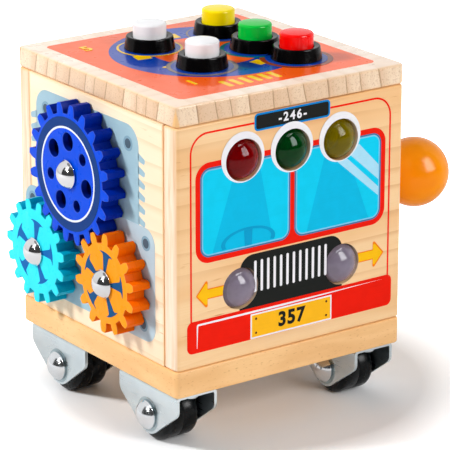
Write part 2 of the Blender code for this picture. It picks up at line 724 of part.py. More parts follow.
def gear_blank(outline):
    bm = bmesh.new()
    small = inset_outline(outline, GEAR_CHAMFER)
    levels = [(small, 0), (outline, GEAR_CHAMFER), (outline, GEAR_WIDTH)]
    loops = [[bm.verts.new((x, y, z)) for x, y in points] for points, z in levels]
    bm.faces.new(loops[0])
    bm.faces.new(loops[-1])
    count = len(outline)
    for low, high in zip(loops, loops[1:]):
        for k in range(count):
            after = (k + 1) % count
            bm.faces.new((low[k], low[after], high[after], high[k]))
    return bm


# The hollow in a gear's back: one pocket between each two ribs.
def gear_pocket_tool(name, root, ribs, first_rib, place):
    outer = root - GEAR_RIM
    bm = bmesh.new()
    for k in range(ribs):
        start = first_rib + 2 * pi * k / ribs
        end = start + 2 * pi / ribs
        points = []
        for radius, order, steps in ((outer, 1, DOME_STEPS), (GEAR_HUB_RADIUS, -1, EDGE_STEPS)):
            edge = GEAR_RIB / 2 / radius
            for n in range(steps + 1):
                share = n / steps if order > 0 else 1 - n / steps
                angle = start + edge + (end - start - 2 * edge) * share
                points.append((radius * cos(angle), radius * sin(angle)))
        add_prism(bm, points, GEAR_PLATE, GEAR_WIDTH + GEAR_PLATE)
    return add_object(name + "_pocket_tool", bm, place, None, TURN_TO_X)


def make_gear(name, teeth, addendum, mate_tip, turn, ribs, first_rib, finish):
    y, z = gear_centres()[name]
    tip = pitch_radius(teeth) + addendum
    mate_reach = pitch_radius(teeth) + pitch_radius(LARGE_TEETH) + GEAR_CENTRE_SPARE
    if name == "large":
        smallest = min(CYAN_TEETH, ORANGE_TEETH)
        mate_reach = pitch_radius(teeth) + pitch_radius(smallest) + GEAR_CENTRE_SPARE
    root = mate_reach - mate_tip - GEAR_ROOT_CLEARANCE
    place = (-GEAR_WALL_GAP - GEAR_WIDTH, y, base_low + z)
    gear = add_object(name + "_gear", gear_blank(gear_outline(teeth, tip, root, turn)), place,
                      finish, TURN_TO_X, sharp=25)
    boolean(gear, gear_pocket_tool(name, root, ribs, first_rib, place))
    bm = add_prism(bmesh.new(), circle(PIN_RADIUS + RUNNING_CLEARANCE, SMALL_SIDES),
                   -GEAR_WIDTH, 2 * GEAR_WIDTH)
    boolean(gear, add_object(name + "_bore_tool", bm, place, None, TURN_TO_X))
    head = dome(PIN_HEAD_RADIUS, PIN_HEAD_HEIGHT - PIN_HEAD_RIM, DOME_STEPS)
    head = [(radius, -height - PIN_HEAD_RIM) for radius, height in head]
    shank = SEAT_GAP + GEAR_WIDTH + GEAR_WALL_GAP + WALL_THICKNESS
    profile = head[::-1] + [(PIN_HEAD_RADIUS, 0), (PIN_RADIUS, 0), (PIN_RADIUS, shank),
                            (0, shank)]
    turned(name + "_gear_pin", profile, PIN_SIDES, (place[0] - SEAT_GAP, y, base_low + z), "chrome",
           TURN_TO_X)
    return gear, place


def make_gears():
    large_tip = pitch_radius(LARGE_TEETH) + LARGE_ADDENDUM
    orange_tip = pitch_radius(ORANGE_TEETH) + ORANGE_ADDENDUM
    hole_step = 2 * pi / HOLE_COUNT
    gear, place = make_gear("large", LARGE_TEETH, LARGE_ADDENDUM, orange_tip, LARGE_GEAR_TURN,
                            HOLE_COUNT, FIRST_HOLE + hole_step / 2, "blue_plastic")
    bm = bmesh.new()
    for k in range(HOLE_COUNT):
        angle = FIRST_HOLE + hole_step * k
        radius = LARGE_HOLE_RADIUS if k in LARGE_HOLES else SMALL_HOLE_RADIUS
        centre = (HOLE_CIRCLE * cos(angle), HOLE_CIRCLE * sin(angle))
        add_prism(bm, circle(radius, SMALL_SIDES, centre), -GEAR_PLATE, GEAR_WIDTH)
    boolean(gear, add_object("large_hole_tool", bm, place, None, TURN_TO_X))
    make_gear("cyan", CYAN_TEETH, CYAN_ADDENDUM, large_tip,
              meshing_turn(CYAN_TEETH, CYAN_DIRECTION), SMALL_GEAR_RIBS, FIRST_RIB,
              "cyan_plastic")
    make_gear("orange", ORANGE_TEETH, ORANGE_ADDENDUM, large_tip,
              meshing_turn(ORANGE_TEETH, ORANGE_DIRECTION), SMALL_GEAR_RIBS, FIRST_RIB,
              "orange_plastic")


# Castors: a folded fork, a wheel on hub bosses, and an axle riveted with a dome at each end.
def fork_outline():
    half = FORK_LENGTH / 2
    top = base_low - SEAT_GAP - axle_height
    side_low = top - FORK_CHEEK_DROP
    reach = hypot(half, side_low)
    tangent = atan2(side_low, half) - acos(FORK_NOSE_RADIUS / reach)
    points = [(half, top), (half, side_low)]
    for k in range(FORK_NOSE_STEPS + 1):
        angle = tangent + (-pi - 2 * tangent) * k / FORK_NOSE_STEPS
        points.append((FORK_NOSE_RADIUS * cos(angle), FORK_NOSE_RADIUS * sin(angle)))
    points += [(-half, side_low), (-half, top)]
    return points


def make_castor(name, x, y):
    centre = (x, y, axle_height)
    half = FORK_WIDTH / 2
    bm = add_prism(bmesh.new(), fork_outline(), -half, half)
    top = base_low - SEAT_GAP - axle_height
    fold = [e for e in bm.edges
            if all(v.co.y > top - SEAT_GAP for v in e.verts)
            and abs(e.verts[0].co.z - e.verts[1].co.z) < SEAT_GAP]
    bmesh.ops.bevel(bm, geom=fold, offset=FORK_FOLD, segments=CORNER_STEPS, profile=0.5,
                    affect="EDGES")
    corner = top - FORK_CHEEK_DROP
    low = [e for e in bm.edges
           if all(abs(v.co.y - corner) < SEAT_GAP for v in e.verts)
           and abs(e.verts[0].co.z - e.verts[1].co.z) > half]
    bmesh.ops.bevel(bm, geom=low, offset=FORK_CORNER, segments=EDGE_STEPS, profile=0.5,
                    affect="EDGES")
    fork = add_object("castor_fork_" + name, bm, centre, "zinc", TURN_TO_X)
    inside = FORK_WIDTH - 2 * FORK_METAL
    room = top - FORK_METAL
    bm = bmesh.new()
    add_box(bm, (2 * FORK_LENGTH, 2 * room, inside))
    boolean(fork, add_object(name + "_fork_room_tool", bm, centre, None, TURN_TO_X))
    bm = add_prism(bmesh.new(), circle(AXLE_RADIUS + SEAT_GAP, SMALL_SIDES), -FORK_WIDTH, FORK_WIDTH)
    boolean(fork, add_object(name + "_fork_bore_tool", bm, centre, None, TURN_TO_X))
    bm = bmesh.new()
    for side in (-1, 1):
        add_turned(bm, [(0, -FORK_SCREW_HEIGHT),
                        (FORK_SCREW_RADIUS - FORK_SCREW_HEIGHT / 2, -FORK_SCREW_HEIGHT),
                        (FORK_SCREW_RADIUS, 0), (FORK_SCREW_RADIUS, FORK_METAL / 2),
                        (0, FORK_METAL / 2)], SMALL_SIDES, (0, side * FORK_SCREW_SPREAD / 2, 0))
    boolean(fork, add_object(name + "_fork_screw_tool", bm,
                             (x, y, base_low - SEAT_GAP - FORK_METAL), None), "UNION")

    bore = AXLE_RADIUS + RUNNING_CLEARANCE
    hub = inside / 2 - SEAT_GAP
    tread = WHEEL_WIDTH / 2
    shoulder = arc(WHEEL_RADIUS - WHEEL_SHOULDER, tread - WHEEL_SHOULDER, WHEEL_SHOULDER,
                   0, 90, EDGE_STEPS)
    right = shoulder + [(WHEEL_HUB_RADIUS, tread), (WHEEL_HUB_RADIUS, hub), (bore, hub)]
    left = [(radius, -along) for radius, along in reversed(right)]
    turned("castor_wheel_" + name, left + right, FINE_SIDES, centre, "black_plastic", TURN_TO_X)

    seat = half + SEAT_GAP
    cap = dome(AXLE_HEAD_RADIUS, AXLE_HEAD_HEIGHT - AXLE_HEAD_RIM, CAP_DOME_STEPS)
    cap = [(radius, seat + AXLE_HEAD_RIM + height) for radius, height in cap]
    right = [(AXLE_RADIUS, seat), (AXLE_HEAD_RADIUS, seat)] + cap
    left = [(radius, -along) for radius, along in reversed(right)]
    turned("castor_axle_" + name, left + right, PIN_SIDES, centre, "chrome", TURN_TO_X)


def make_castors():
    left = CASTOR_SIDE_INSET + FORK_WIDTH / 2
    right = BOX_WIDTH - left
    front = FRONT_AXLE_INSET
    rear = BOX_DEPTH - REAR_AXLE_INSET
    make_castor("front_left", left, front)
    make_castor("front_right", right, front)
    make_castor("rear_left", left, rear)
    make_castor("rear_right", right, rear)


# The ball knob: a stem through the slot, a collar outside, a disc inside, a ball on the end.
def make_slider():
    height = base_low + slot_z
    inner = -WALL_THICKNESS - SEAT_GAP - RETAINER_THICKNESS
    end = BALL_REACH - BALL_RADIUS + BALL_SOCKET_DEPTH - SEAT_GAP
    stem = [(0, inner), (STEM_RADIUS, inner), (STEM_RADIUS, SEAT_GAP), (COLLAR_RADIUS, SEAT_GAP),
            (COLLAR_RADIUS, SEAT_GAP + COLLAR_THICKNESS / 2),
            (COLLAR_RADIUS - COLLAR_THICKNESS / 2, SEAT_GAP + COLLAR_THICKNESS),
            (STEM_RADIUS, SEAT_GAP + COLLAR_THICKNESS), (STEM_RADIUS, end), (0, end)]
    turned("slider_stem", stem, PIN_SIDES, (BOX_WIDTH, SLOT_FRONT_Y, height), "pine", TURN_TO_X)
    bore = STEM_RADIUS + SEAT_GAP
    ring = [(bore, 0), (RETAINER_RADIUS, 0), (RETAINER_RADIUS, RETAINER_THICKNESS),
            (bore, RETAINER_THICKNESS)]
    turned("slider_retainer", ring, PIN_SIDES, (BOX_WIDTH + inner, SLOT_FRONT_Y, height), "pine",
           TURN_TO_X)
    socket = BALL_SOCKET_DEPTH
    mouth = sqrt(BALL_RADIUS * BALL_RADIUS - bore * bore)
    start = -atan2(mouth, bore)
    ball = [(0, -BALL_RADIUS + socket), (bore, -BALL_RADIUS + socket)]
    for k in range(BALL_STEPS + 1):
        angle = start + (pi / 2 - start) * k / BALL_STEPS
        ball.append((BALL_RADIUS * cos(angle), BALL_RADIUS * sin(angle)))
    ball[-1] = (0, BALL_RADIUS)
    turned("slider_ball", ball, ROUND_SIDES, (BOX_WIDTH + BALL_REACH, SLOT_FRONT_Y, height),
           "ball_paint", TURN_TO_X)


# Leads run inside the box, clipped from socket to socket.
def smooth_route(points, steps):
    route = []
    last = len(points) - 1
    for k in range(last):
        a = Vector(points[max(k - 1, 0)])
        b = Vector(points[k])
        c = Vector(points[k + 1])
        d = Vector(points[min(k + 2, last)])
        for n in range(steps):
            t = n / steps
            route.append(0.5 * (2 * b + (c - a) * t + (2 * a - 5 * b + 4 * c - d) * t ** 2
                                + (3 * b - a - 3 * c + d) * t ** 3))
    route.append(Vector(points[-1]))
    return route


def make_lead(name, points):
    route = smooth_route(points, LEAD_STEPS)
    curve = bpy.data.curves.new(name, "CURVE")
    curve.dimensions = "3D"
    curve.bevel_depth = LEAD_RADIUS
    curve.bevel_resolution = 1
    curve.use_fill_caps = True
    spline = curve.splines.new("POLY")
    spline.points.add(len(route) - 1)
    for target, point in zip(spline.points, route):
        target.co = (*point, 1)
    curve.materials.append(material("lead_sleeve"))
    obj = bpy.data.objects.new(name, curve)
    bpy.context.scene.collection.objects.link(obj)
    obj.location = (left_face, front_face, 0)


def make_wiring():
    board_back = flange_back + LIGHT_BOARD_STANDOFF + LIGHT_BOARD_THICKNESS + SEAT_GAP
    box_top = battery_floor + battery_box[2] + SEAT_GAP
    middle = BOX_WIDTH / 2
    board_low = base_low + HEADLIGHT_HEIGHT
    make_lead("battery_lead", [
        (middle, BOX_DEPTH / 2, box_top),
        (middle, BOX_DEPTH / 2, box_top + BATTERY_LEAD_RISE),
        (middle, board_back + BATTERY_LEAD_BACK, box_top + BATTERY_LEAD_TOP),
        (middle, board_back + BATTERY_LEAD_FRONT, board_low),
        (middle, board_back, board_low)])
    x, y = BUTTONS["white_front"]
    foot = lid_high - BARREL_DEPTH - SWITCH_DEPTH - SEAT_GAP
    board_high = base_low + traffic_light_z - BUTTON_LEAD_DROP
    make_lead("button_lead", [
        (x, board_back, board_high),
        (x, board_back + BUTTON_LEAD_OUT, board_high),
        (x, y - BUTTON_LEAD_BEND, foot - BUTTON_LEAD_LOW),
        (x, y, foot - BUTTON_LEAD_HIGH),
        (x, y, foot)])


clear_scene()
make_box()
make_battery()
make_buttons()
make_lights()
make_gears()
make_castors()
make_slider()
make_wiring()
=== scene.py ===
from math import acos, atan2, cos, degrees, hypot, pi, radians, sin, sqrt, tan

import bmesh
import bpy
from mathutils import Matrix, Vector


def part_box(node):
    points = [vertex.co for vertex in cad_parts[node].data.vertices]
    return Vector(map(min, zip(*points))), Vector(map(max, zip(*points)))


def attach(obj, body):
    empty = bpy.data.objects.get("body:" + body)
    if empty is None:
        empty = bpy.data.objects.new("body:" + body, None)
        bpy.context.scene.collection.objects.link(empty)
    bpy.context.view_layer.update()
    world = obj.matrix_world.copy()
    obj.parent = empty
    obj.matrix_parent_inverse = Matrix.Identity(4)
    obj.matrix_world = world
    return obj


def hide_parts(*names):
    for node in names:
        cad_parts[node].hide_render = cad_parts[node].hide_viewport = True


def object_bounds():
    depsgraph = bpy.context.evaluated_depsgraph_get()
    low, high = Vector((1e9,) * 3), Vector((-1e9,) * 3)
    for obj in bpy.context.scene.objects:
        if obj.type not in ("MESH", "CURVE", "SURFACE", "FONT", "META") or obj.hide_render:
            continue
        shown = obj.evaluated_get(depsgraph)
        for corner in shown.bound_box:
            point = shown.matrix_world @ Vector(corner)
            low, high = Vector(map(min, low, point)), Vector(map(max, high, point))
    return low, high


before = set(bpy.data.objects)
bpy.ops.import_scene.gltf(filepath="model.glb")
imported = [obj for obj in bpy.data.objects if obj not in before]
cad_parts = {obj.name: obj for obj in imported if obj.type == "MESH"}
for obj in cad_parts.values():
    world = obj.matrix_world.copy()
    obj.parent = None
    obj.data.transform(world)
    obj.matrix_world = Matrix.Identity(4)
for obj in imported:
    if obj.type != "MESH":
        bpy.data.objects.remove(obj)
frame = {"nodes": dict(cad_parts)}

# A wooden activity cube on four castors: printed bus front with five domed lights, three
# meshing gears on the left side, five push buttons in the lid and a ball knob on the right.

cadLow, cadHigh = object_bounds()
nodes = frame["nodes"]
mm = 0.001

lidLow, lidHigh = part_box("lid_board")
baseLow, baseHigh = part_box("base_board")
boxCorner = Vector((lidLow.x, lidLow.y, baseLow.z))
boxSize = (lidHigh - boxCorner) / mm
print("frame loaded: box of %.0f x %.0f x %.0f mm" % tuple(boxSize))


# Camera and light

view = {
    "place": (-0.71691, -0.98934, 0.47992),
    "azimuth": -35.59,
    "elevation": 18.38,
    "lens": 230.89,
    "sensor": 36.0,
}

lamps = {
    "key": {"azimuth": 5, "elevation": 28, "distance": 1.5, "size": (0.72, 0.50), "watts": 10.4},
    "side": {"azimuth": -116, "elevation": 36, "distance": 1.4, "size": (0.26, 0.26), "watts": 16.0},
    "right": {"azimuth": 80, "elevation": 16, "distance": 1.6, "size": (0.8, 0.8), "watts": 6.6},
    "back": {"azimuth": 162, "elevation": 16, "distance": 1.6, "size": (0.8, 0.8), "watts": 7.0},
}

studio = {
    "fill": 0.28,               # world light that reaches the surfaces
    "floorSize": 6.0,
    "floorColour": (0.93, 0.93, 0.935),
    "floorGlow": (0.0, 1.0),   # glow seen by the camera only: it makes the open floor white, and its fade towards the cube paints a soft shade round it
    "glowRamp": (0.082, 0.128),   # metres from the middle of the cube where the glow starts and where it is full
}

# What glossy surfaces see of the studio, beside its white walls: soft windows and dark cards.
# Azimuth from, to, elevation from, to, distance in metres, brightness.
cards = {
    "key_window": (6, 38, 12, 50, 2.2, 16.0),
    "side_window": (-94, -68, 30, 57, 2.2, 1.7),
    "spark": (-70, -66, 24, 28, 2.1, 70.0),
    "side_card": (-112, -20, -1, 42, 2.4, 0.06),
    "corner_card": (-66, -20, 42, 62, 2.4, 0.14),
    "front_card": (-20, 66, -1, 62, 2.4, 0.03),
    "ceiling_card": (-180, 180, 62, 89, 2.4, 0.30),
}


def outOf(azimuth, elevation):
    a = radians(azimuth)
    e = radians(elevation)
    return Vector((sin(a) * cos(e), -cos(a) * cos(e), sin(e)))


def makeCamera():
    data = bpy.data.cameras.new("camera")
    data.sensor_width = view["sensor"]
    data.lens = view["lens"]
    data.clip_start = 0.05
    data.clip_end = 20
    camera = bpy.data.objects.new("camera", data)
    bpy.context.scene.collection.objects.link(camera)
    camera.location = view["place"]
    back = outOf(view["azimuth"], view["elevation"])
    camera.rotation_mode = "QUATERNION"
    camera.rotation_quaternion = (-back).to_track_quat("-Z", "Y")
    bpy.context.scene.camera = camera


def makeLamp(name, lamp, target):
    data = bpy.data.lights.new(name + "_lamp", "AREA")
    data.shape = "RECTANGLE"
    data.size, data.size_y = lamp["size"]
    data.energy = lamp["watts"]
    light = bpy.data.objects.new(name + "_lamp", data)
    bpy.context.scene.collection.objects.link(light)
    light.visible_glossy = False        # the cards below stand for the lamps in reflections
    out = outOf(lamp["azimuth"], lamp["elevation"])
    light.location = target + out * lamp["distance"]
    light.rotation_mode = "QUATERNION"
    light.rotation_quaternion = (-out).to_track_quat("-Z", "Y")


def emptyTree(owner):
    owner.use_nodes = True
    owner.node_tree.nodes.clear()
    return owner.node_tree


def makeCard(name, card, target):
    first, last, low, high, distance, brightness = card
    steps = 24      # each way, so the card is curved about the cube
    bm = bmesh.new()
    rows = []
    for e in range(steps + 1):
        row = []
        for a in range(steps + 1):
            azimuth = first + (last - first) * a / steps
            elevation = low + (high - low) * e / steps
            row.append(bm.verts.new(target + outOf(azimuth, elevation) * distance))
        rows.append(row)
    for e in range(steps):
        for a in range(steps):
            bm.faces.new((rows[e][a], rows[e][a + 1], rows[e + 1][a + 1], rows[e + 1][a]))
    mesh = bpy.data.meshes.new(name)
    bm.to_mesh(mesh)
    bm.free()
    grey = bpy.data.materials.new(name)
    tree = emptyTree(grey)
    out = tree.nodes.new("ShaderNodeOutputMaterial")
    glow = tree.nodes.new("ShaderNodeEmission")
    glow.inputs["Strength"].default_value = brightness
    tree.links.new(glow.outputs[0], out.inputs["Surface"])
    mesh.materials.append(grey)
    made = bpy.data.objects.new(name, mesh)
    bpy.context.scene.collection.objects.link(made)
    made.visible_camera = False
    made.visible_diffuse = False
    made.visible_shadow = False
    made.visible_transmission = False


def seenMask(tree, kinds):
    path = tree.nodes.new("ShaderNodeLightPath")
    mask = path.outputs[kinds[0]]
    for kind in kinds[1:]:
        larger = tree.nodes.new("ShaderNodeMath")
        larger.operation = "MAXIMUM"
        tree.links.new(mask, larger.inputs[0])
        tree.links.new(path.outputs[kind], larger.inputs[1])
        mask = larger.outputs[0]
    return mask


def makeWorld():
    world = bpy.data.worlds.new("studio")
    bpy.context.scene.world = world
    tree = emptyTree(world)
    out = tree.nodes.new("ShaderNodeOutputWorld")
    fill = tree.nodes.new("ShaderNodeBackground")
    fill.inputs["Strength"].default_value = studio["fill"]
    seen = tree.nodes.new("ShaderNodeBackground")
    seen.inputs["Color"].default_value = (1, 1, 1, 1)
    seen.inputs["Strength"].default_value = 1.0
    mix = tree.nodes.new("ShaderNodeMixShader")
    mask = seenMask(tree, ("Is Camera Ray", "Is Glossy Ray", "Is Transmission Ray"))
    tree.links.new(mask, mix.inputs[0])
    tree.links.new(fill.outputs[0], mix.inputs[1])
    tree.links.new(seen.outputs[0], mix.inputs[2])
    tree.links.new(mix.outputs[0], out.inputs[0])


def makeFloor():
    material = bpy.data.materials.new("floor")
    tree = emptyTree(material)
    out = tree.nodes.new("ShaderNodeOutputMaterial")
    paint = tree.nodes.new("ShaderNodeBsdfDiffuse")
    paint.inputs["Color"].default_value = (*studio["floorColour"], 1)
    cameraGlow = tree.nodes.new("ShaderNodeEmission")
    where = tree.nodes.new("ShaderNodeTexCoord")
    away = tree.nodes.new("ShaderNodeVectorMath")
    away.operation = "LENGTH"
    tree.links.new(where.outputs["Object"], away.inputs[0])
    # The glow fades out towards the cube, leaving a painted soft shade round it.
    rise = tree.nodes.new("ShaderNodeMapRange")
    tree.links.new(away.outputs["Value"], rise.inputs[0])
    for number, value in enumerate(studio["glowRamp"] + studio["floorGlow"]):
        rise.inputs[number + 1].default_value = value
    strength = tree.nodes.new("ShaderNodeMath")
    strength.operation = "MULTIPLY"
    tree.links.new(seenMask(tree, ("Is Camera Ray",)), strength.inputs[0])
    tree.links.new(rise.outputs[0], strength.inputs[1])
    tree.links.new(strength.outputs[0], cameraGlow.inputs["Strength"])
    both = tree.nodes.new("ShaderNodeAddShader")
    tree.links.new(paint.outputs[0], both.inputs[0])
    tree.links.new(cameraGlow.outputs[0], both.inputs[1])
    tree.links.new(both.outputs[0], out.inputs["Surface"])
    half = studio["floorSize"] / 2
    mesh = bpy.data.meshes.new("floor")
    corners = [(-half, -half, 0), (half, -half, 0), (half, half, 0), (-half, half, 0)]
    mesh.from_pydata(corners, [], [(0, 1, 2, 3)])
    mesh.materials.append(material)
    floor = bpy.data.objects.new("floor", mesh)
    bpy.context.scene.collection.objects.link(floor)


middle = (cadLow + cadHigh) / 2
makeCamera()
for name, lamp in lamps.items():
    makeLamp(name, lamp, middle)
for name, card in cards.items():
    makeCard(name, card, middle)
makeWorld()
makeFloor()
bpy.context.scene.view_settings.view_transform = "Standard"
print("camera, lamps and floor are up")


# Finishes. Each one is a Principled shader fed by procedural nodes in the piece's own space,
# which is the frame's space at rest.

class Finish:
    def __init__(self, name, roughness=0.4, metallic=0.0, coat=0.0, coatRoughness=0.05,
                 specular=0.5, ior=1.5):
        self.material = bpy.data.materials.new(name)
        self.tree = emptyTree(self.material)
        out = self.tree.nodes.new("ShaderNodeOutputMaterial")
        self.shader = self.tree.nodes.new("ShaderNodeBsdfPrincipled")
        self.link(self.shader.outputs[0], out.inputs["Surface"])
        self.fix("Roughness", roughness)
        self.fix("Metallic", metallic)
        self.fix("Coat Weight", coat)
        self.fix("Coat Roughness", coatRoughness)
        self.fix("Specular IOR Level", specular)
        self.fix("IOR", ior)
        coordinate = self.tree.nodes.new("ShaderNodeTexCoord")
        self.point = coordinate.outputs["Object"]

    def node(self, kind):
        return self.tree.nodes.new("ShaderNode" + kind)

    def link(self, output, socket):
        self.tree.links.new(output, socket)

    def fix(self, socket, value):
        self.shader.inputs[socket].default_value = value

    def feed(self, node, number, value):
        if hasattr(value, "is_output"):
            self.link(value, node.inputs[number])
        elif isinstance(value, tuple) and len(value) == 3 and node.inputs[number].type == "RGBA":
            node.inputs[number].default_value = (*value, 1)
        else:
            node.inputs[number].default_value = value

    def math(self, operation, a, b=0.0, c=0.0, clamp=False):
        node = self.node("Math")
        node.operation = operation
        node.use_clamp = clamp
        self.feed(node, 0, a)
        self.feed(node, 1, b)
        self.feed(node, 2, c)
        return node.outputs[0]

    def times(self, a, b):
        return self.math("MULTIPLY", a, b)

    def minus(self, a, b):
        return self.math("SUBTRACT", a, b)

    def vector(self, operation, a, b=(0, 0, 0)):
        node = self.node("VectorMath")
        node.operation = operation
        self.feed(node, 0, a)
        self.feed(node, 1, b)
        return node.outputs[0]

    def axes(self, vector):
        node = self.node("SeparateXYZ")
        self.link(vector, node.inputs[0])
        return node.outputs[0], node.outputs[1], node.outputs[2]

    def joined(self, x, y, z):
        node = self.node("CombineXYZ")
        self.feed(node, 0, x)
        self.feed(node, 1, y)
        self.feed(node, 2, z)
        return node.outputs[0]

    def stretched(self, scale, point=None):
        return self.vector("MULTIPLY", point or self.point, scale)

    def noise(self, scale, detail=3.0, roughness=0.5, distortion=0.0, point=None):
        node = self.node("TexNoise")
        node.inputs["Scale"].default_value = 1.0
        node.inputs["Detail"].default_value = detail
        node.inputs["Roughness"].default_value = roughness
        node.inputs["Distortion"].default_value = distortion
        if not isinstance(scale, tuple):
            scale = (scale, scale, scale)
        self.link(self.stretched(scale, point), node.inputs["Vector"])
        return node.outputs["Fac"]

    # A value between low and high turned into 0 to 1.
    def range(self, value, low, high, first=0.0, last=1.0, smooth=True):
        node = self.node("MapRange")
        node.interpolation_type = "SMOOTHSTEP" if smooth else "LINEAR"
        self.feed(node, 0, value)
        node.inputs[1].default_value = low
        node.inputs[2].default_value = high
        node.inputs[3].default_value = first
        node.inputs[4].default_value = last
        return node.outputs[0]

    def mix(self, share, a, b, blend="MIX"):
        node = self.node("Mix")
        node.data_type = "RGBA"
        node.blend_type = blend
        self.feed(node, 0, share)
        self.feed(node, 6, a)
        self.feed(node, 7, b)
        return node.outputs[2]

    def colour(self, value):
        self.link(value, self.shader.inputs["Base Color"])

    def rough(self, value, low, high):
        self.link(self.range(value, 0.25, 0.75, low, high, smooth=False),
                  self.shader.inputs["Roughness"])

    def bump(self, height, distance, strength=1.0, normal=None):
        node = self.node("Bump")
        node.inputs["Distance"].default_value = distance
        node.inputs["Strength"].default_value = strength
        self.link(height, node.inputs["Height"])
        if normal:
            self.link(normal, node.inputs["Normal"])
        self.link(node.outputs[0], self.shader.inputs["Normal"])
        return node.outputs[0]


def lin(red, green, blue):
    return tuple(((c / 255 + 0.055) / 1.055) ** 2.4 if c > 10 else c / 255 / 12.92
                 for c in (red, green, blue))


# How near a point of a board is to its box's edges: 1 at the edge, 0 from the width inwards.
def edgeNearness(finish, low, high, width):
    centre = (low + high) / 2
    half = (high - low) / 2
    offset = finish.vector("SUBTRACT", finish.point, tuple(centre))
    depth = finish.vector("SUBTRACT", tuple(half), finish.vector("ABSOLUTE", offset))
    x, y, z = finish.axes(depth)
    pairs = [finish.math("MAXIMUM", x, y), finish.math("MAXIMUM", y, z),
             finish.math("MAXIMUM", x, z)]
    second = finish.math("MINIMUM", finish.math("MINIMUM", pairs[0], pairs[1]), pairs[2])
    return finish.range(second, 0.0, width, 1.0, 0.0)


wood = {
    "front": {"pale": lin(250, 212, 163), "warm": lin(242, 191, 135), "line": lin(206, 139, 82),
              "along": 0, "seed": 3.1},
    # The side boards get paler tones than the front and rear: painted light on the same pine.
    "side": {"pale": lin(255, 238, 212), "warm": lin(251, 224, 190), "line": lin(230, 186, 136),
             "along": 1, "seed": 9.4},
    "lidTop": {"pale": lin(254, 238, 222), "warm": lin(250, 226, 204), "line": lin(226, 190, 156)},
    "endGrain": {"pale": lin(246, 220, 190), "warm": lin(222, 184, 148), "line": lin(150, 106, 70),
                 "pore": lin(190, 146, 108)},
    "wallEnd": {"pale": lin(252, 228, 204), "warm": lin(243, 210, 178), "line": lin(228, 182, 140)},
    "base": {"pale": lin(250, 202, 143), "warm": lin(238, 185, 125), "pore": lin(206, 144, 88)},
    "varnishEdge": lin(250, 196, 128),
}

grain = {
    "wave": 34.0,
    "swirl": 7.0,
    "waveShare": 0.42,
    "fibreShare": 0.30,
    "dash": (95.0, 1500.0),     # along and across the grain
    "dashShare": 0.85,
    "strip": 0.0098,            # width of a glued strip in metres
    "lean": -0.18,
}


# Long fibres, wavy growth lines and short dark flecks along one axis of a board.
def pineFace(finish, look, point):
    along = look["along"]
    across = 2 if along != 2 else 0
    seed = look["seed"]
    moved = finish.vector("ADD", point, (seed, seed * 0.7, seed * 1.3))
    slow = [10.0, 10.0, 10.0]
    slow[across] = 46.0
    bands = finish.noise(tuple(slow), 2.0, 0.5, 0.4, moved)
    wave = finish.node("TexWave")
    wave.wave_type = "BANDS"
    wave.bands_direction = "XYZ"[across]
    wave.wave_profile = "SAW"
    wave.inputs["Scale"].default_value = grain["wave"]
    wave.inputs["Distortion"].default_value = grain["swirl"]
    wave.inputs["Detail"].default_value = 2.0
    wave.inputs["Detail Scale"].default_value = 0.7
    squeeze = [0.22, 0.22, 0.22]
    squeeze[across] = 1.0
    finish.link(finish.stretched(tuple(squeeze), moved), wave.inputs["Vector"])
    rings = finish.range(wave.outputs["Fac"], 0.66, 1.0)
    fine = [70.0, 70.0, 70.0]
    fine[across] = 2600.0
    fibre = finish.noise(tuple(fine), 2.0, 0.6, 0.0, moved)
    dash = [grain["dash"][0]] * 3
    dash[across] = grain["dash"][1]
    flecks = finish.range(finish.noise(tuple(dash), 1.0, point=moved), 0.69, 0.76)
    patch = finish.range(finish.noise(34.0, 1.0, point=moved), 0.52, 0.66)
    fade = finish.range(finish.noise(14.0, 1.0, point=moved), 0.35, 0.62)
    colour = finish.mix(finish.range(bands, 0.3, 0.7), look["pale"], look["warm"])
    ringShare = finish.times(finish.times(rings, fade), grain["waveShare"])
    colour = finish.mix(ringShare, colour, look["line"])
    colour = finish.mix(finish.range(fibre, 0.4, 0.8, 0.0, grain["fibreShare"]), colour, look["warm"])
    strength = finish.times(finish.times(flecks, patch), grain["dashShare"])
    colour = finish.mix(strength, colour, look["line"])
    return colour, fibre


# Glued strips that end at the surface: a dark latewood line at each strip's start, then a
# brown shade that pales towards the next.
def stripEnds(finish, run, down, look):
    lean = finish.times(down, grain["lean"])
    wander = finish.times(finish.noise((60.0, 60.0, 22.0), 1.0), 0.005)
    place = finish.math("ADD", finish.math("ADD", run, lean), wander)
    scaled = finish.times(place, 1 / grain["strip"])
    uneven = finish.times(finish.math("SINE", finish.times(scaled, 1.7)), 0.21)
    counted = finish.math("ADD", scaled, uneven)
    saw = finish.math("FRACT", counted)
    dark = finish.range(saw, 0.0, 0.62, 1.0, 0.0)
    line = finish.range(saw, 0.0, 0.10, 1.0, 0.0)
    tone = finish.noise(1.0, 0.0, point=finish.joined(
        finish.times(finish.math("FLOOR", counted), 7.3), 0.0, 0.0))
    pores = finish.range(finish.noise(1500.0, 2.0), 0.54, 0.68)
    streaks = finish.noise((700.0, 700.0, 120.0), 2.0)
    colour = finish.mix(finish.range(tone, 0.35, 0.65, 0.0, 0.75), look["pale"], look["warm"])
    colour = finish.mix(finish.range(streaks, 0.35, 0.75, 0.0, 0.35), colour, look["warm"])
    colour = finish.mix(finish.times(dark, 0.75), colour, look["warm"])
    colour = finish.mix(finish.times(line, 0.80), colour, look["line"])
    colour = finish.mix(finish.times(pores, 0.50), colour, look["pore"])
    return colour, dark, pores


def finishWood(finish, colour, low, high, grain, roughness=(0.30, 0.42), edge=0.45):
    near = edgeNearness(finish, low, high, 0.0016)
    colour = finish.mix(finish.times(near, edge), colour, wood["varnishEdge"])
    finish.colour(colour)
    finish.rough(finish.noise(90.0, 3.0), *roughness)
    finish.bump(grain, 0.00006, 0.55)
    return finish.material


